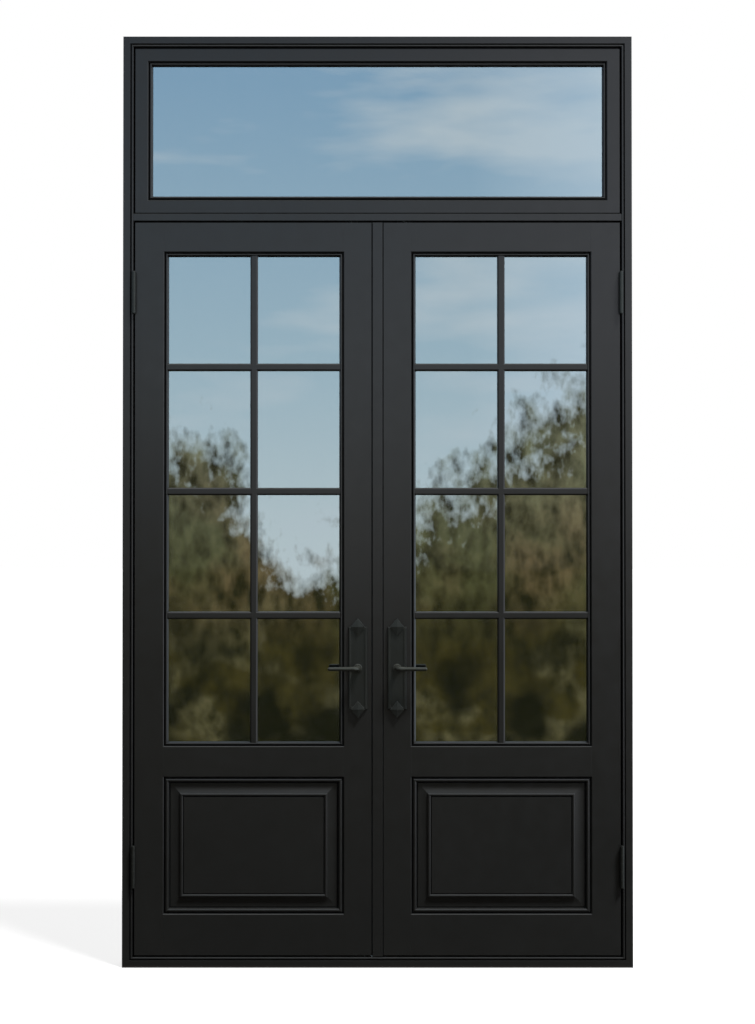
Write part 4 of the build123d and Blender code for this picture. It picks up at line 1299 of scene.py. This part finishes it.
@dataclass
class Studio:
    """Floor, reflection card, lamps, world and camera.

    Attributes:
        face: From the frame's middle to its outer face.
        distance: From the frame's face to the camera.
        height: The camera's height.
        pitch: How far the camera looks up, in degrees.
        lens: Its focal length, for a sensor of 36 on the picture's long side.
        floor_half: Half the floor's width.
        floor_tones: The floor's darker and lighter colour.
        floor_glow: How bright the floor looks to the camera by itself, just short of hiding the shadow.
        ambient: The world's plain light.
        key_strength: The main light's strength.
        key_turn: Its direction's elevation and its turn to the right, in degrees.
        key_spread: How wide it looks from the doors, in degrees.
        key_distance: How far off it stands.
        lamp_target: Where the soft lamps look.
        lamps: The soft lamps.
    """

    face: float = 0.058
    distance: float = 5.7
    height: float = 1.4464
    pitch: float = 0.64
    lens: float = 60.31
    floor_half: float = 60.0
    floor_tones: tuple[Colour, Colour] = ((0.20, 0.20, 0.20), (0.21, 0.21, 0.21))
    floor_glow: float = 0.80
    ambient: float = 0.10
    key_strength: float = 6.6
    key_turn: tuple[float, float] = (62.0, 48.0)
    key_spread: float = 11.0
    key_distance: float = 6.0
    lamp_target: Point = (0.0, 0.0, 1.4)
    lamps: tuple[SoftLamp, ...] = (
        SoftLamp("fill", place=(-3.6, -3.0, 5.6), size=(2.6, 2.6), power=14.0),
        SoftLamp("back", place=(0.4, 4.6, 5.6), size=(4.0, 2.6), power=220.0),
    )

    def build(self) -> None:
        """Sets the whole studio up."""
        bpy.context.scene.view_settings.view_transform = "Standard"
        self.camera()
        self.floor()
        ReflectionCard().build()
        self.world()
        self.key()
        for lamp in self.lamps:
            lamp.hang(self.lamp_target)
        LOG.info("studio with a key light and %d soft lamps", len(self.lamps))

    def camera(self) -> None:
        """Stands the camera squarely in front of the doors."""
        data = bpy.data.cameras.new("camera")
        data.sensor_width = 36.0
        data.lens = self.lens
        data.clip_end = 200.0
        camera = bpy.data.objects.new("camera", data)
        camera.location = (0.0, -self.face - self.distance, self.height)
        camera.rotation_euler = (math.radians(90.0 + self.pitch), 0.0, 0.0)
        bpy.context.scene.collection.objects.link(camera)
        bpy.context.scene.camera = camera

    def floor(self) -> None:
        """Lays a plain pale floor that keeps the doors' shadow."""
        mesh = bpy.data.meshes.new("floor")
        half = self.floor_half
        mesh.from_pydata([(-half, -half, 0.0), (half, -half, 0.0), (half, half, 0.0), (-half, half, 0.0)], [],
                         [(0, 1, 2, 3)])
        floor = bpy.data.objects.new("floor", mesh)
        bpy.context.scene.collection.objects.link(floor)
        pale = Shading("pale_floor")
        seen = pale.add("ShaderNodeLightPath").outputs["Is Camera Ray"]
        tone = pale.between(pale.noise(0.6, 2.0), 0.0, 1.0)
        pale.feed(Base_Color=pale.mixed(tone, *self.floor_tones),
                  Emission_Strength=pale.between(seen, 0.0, self.floor_glow, 0.0, 1.0))
        pale.set(Roughness=0.9, Specular_IOR_Level=0.0, Emission_Color=(1.0, 1.0, 1.0))
        mesh.materials.append(pale.material)

    def world(self) -> None:
        """Lights evenly from all round, and shows as white behind the doors."""
        world = bpy.data.worlds.new("studio")
        bpy.context.scene.world = world
        world.use_nodes = True
        nodes, links = world.node_tree.nodes, world.node_tree.links
        path = nodes.new("ShaderNodeLightPath")
        seen = nodes.new("ShaderNodeMath")
        seen.operation = "MAXIMUM"
        links.new(path.outputs["Is Camera Ray"], seen.inputs[0])
        links.new(path.outputs["Is Transmission Ray"], seen.inputs[1])
        level = nodes.new("ShaderNodeMapRange")
        level.inputs["To Min"].default_value = self.ambient
        links.new(seen.outputs[0], level.inputs["Value"])
        links.new(level.outputs[0], nodes["Background"].inputs["Strength"])
        nodes["Background"].inputs["Color"].default_value = (1.0, 1.0, 1.0, 1.0)

    def key(self) -> None:
        """Sets the main light, soft and even, high on the right, with no highlight of its own."""
        data = bpy.data.lights.new("key", "SUN")
        data.energy = self.key_strength
        data.angle = math.radians(self.key_spread)
        lamp = bpy.data.objects.new("key", data)
        rise, turn = (math.radians(angle) for angle in self.key_turn)
        towards = Vector((math.sin(turn) * math.cos(rise), -math.cos(turn) * math.cos(rise), math.sin(rise)))
        lamp.location = self.key_distance * towards
        lamp.rotation_euler = towards.to_track_quat("Z", "Y").to_euler()
        lamp.visible_glossy = False
        bpy.context.scene.collection.objects.link(lamp)


def main() -> None:
    """Builds the doors and the studio in order."""
    logging.basicConfig(level=logging.INFO, format="%(name)s: %(message)s")
    for spare in list(bpy.data.objects):
        bpy.data.objects.remove(spare)
    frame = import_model()
    finishes = Finishes()
    finishes.wear(frame["nodes"])
    Fastenings().build(finishes)
    DraughtBrush().build(finishes)
    PanelSlopes().build(finishes)
    Studio().build()


if __name__ == "__main__":
    main()
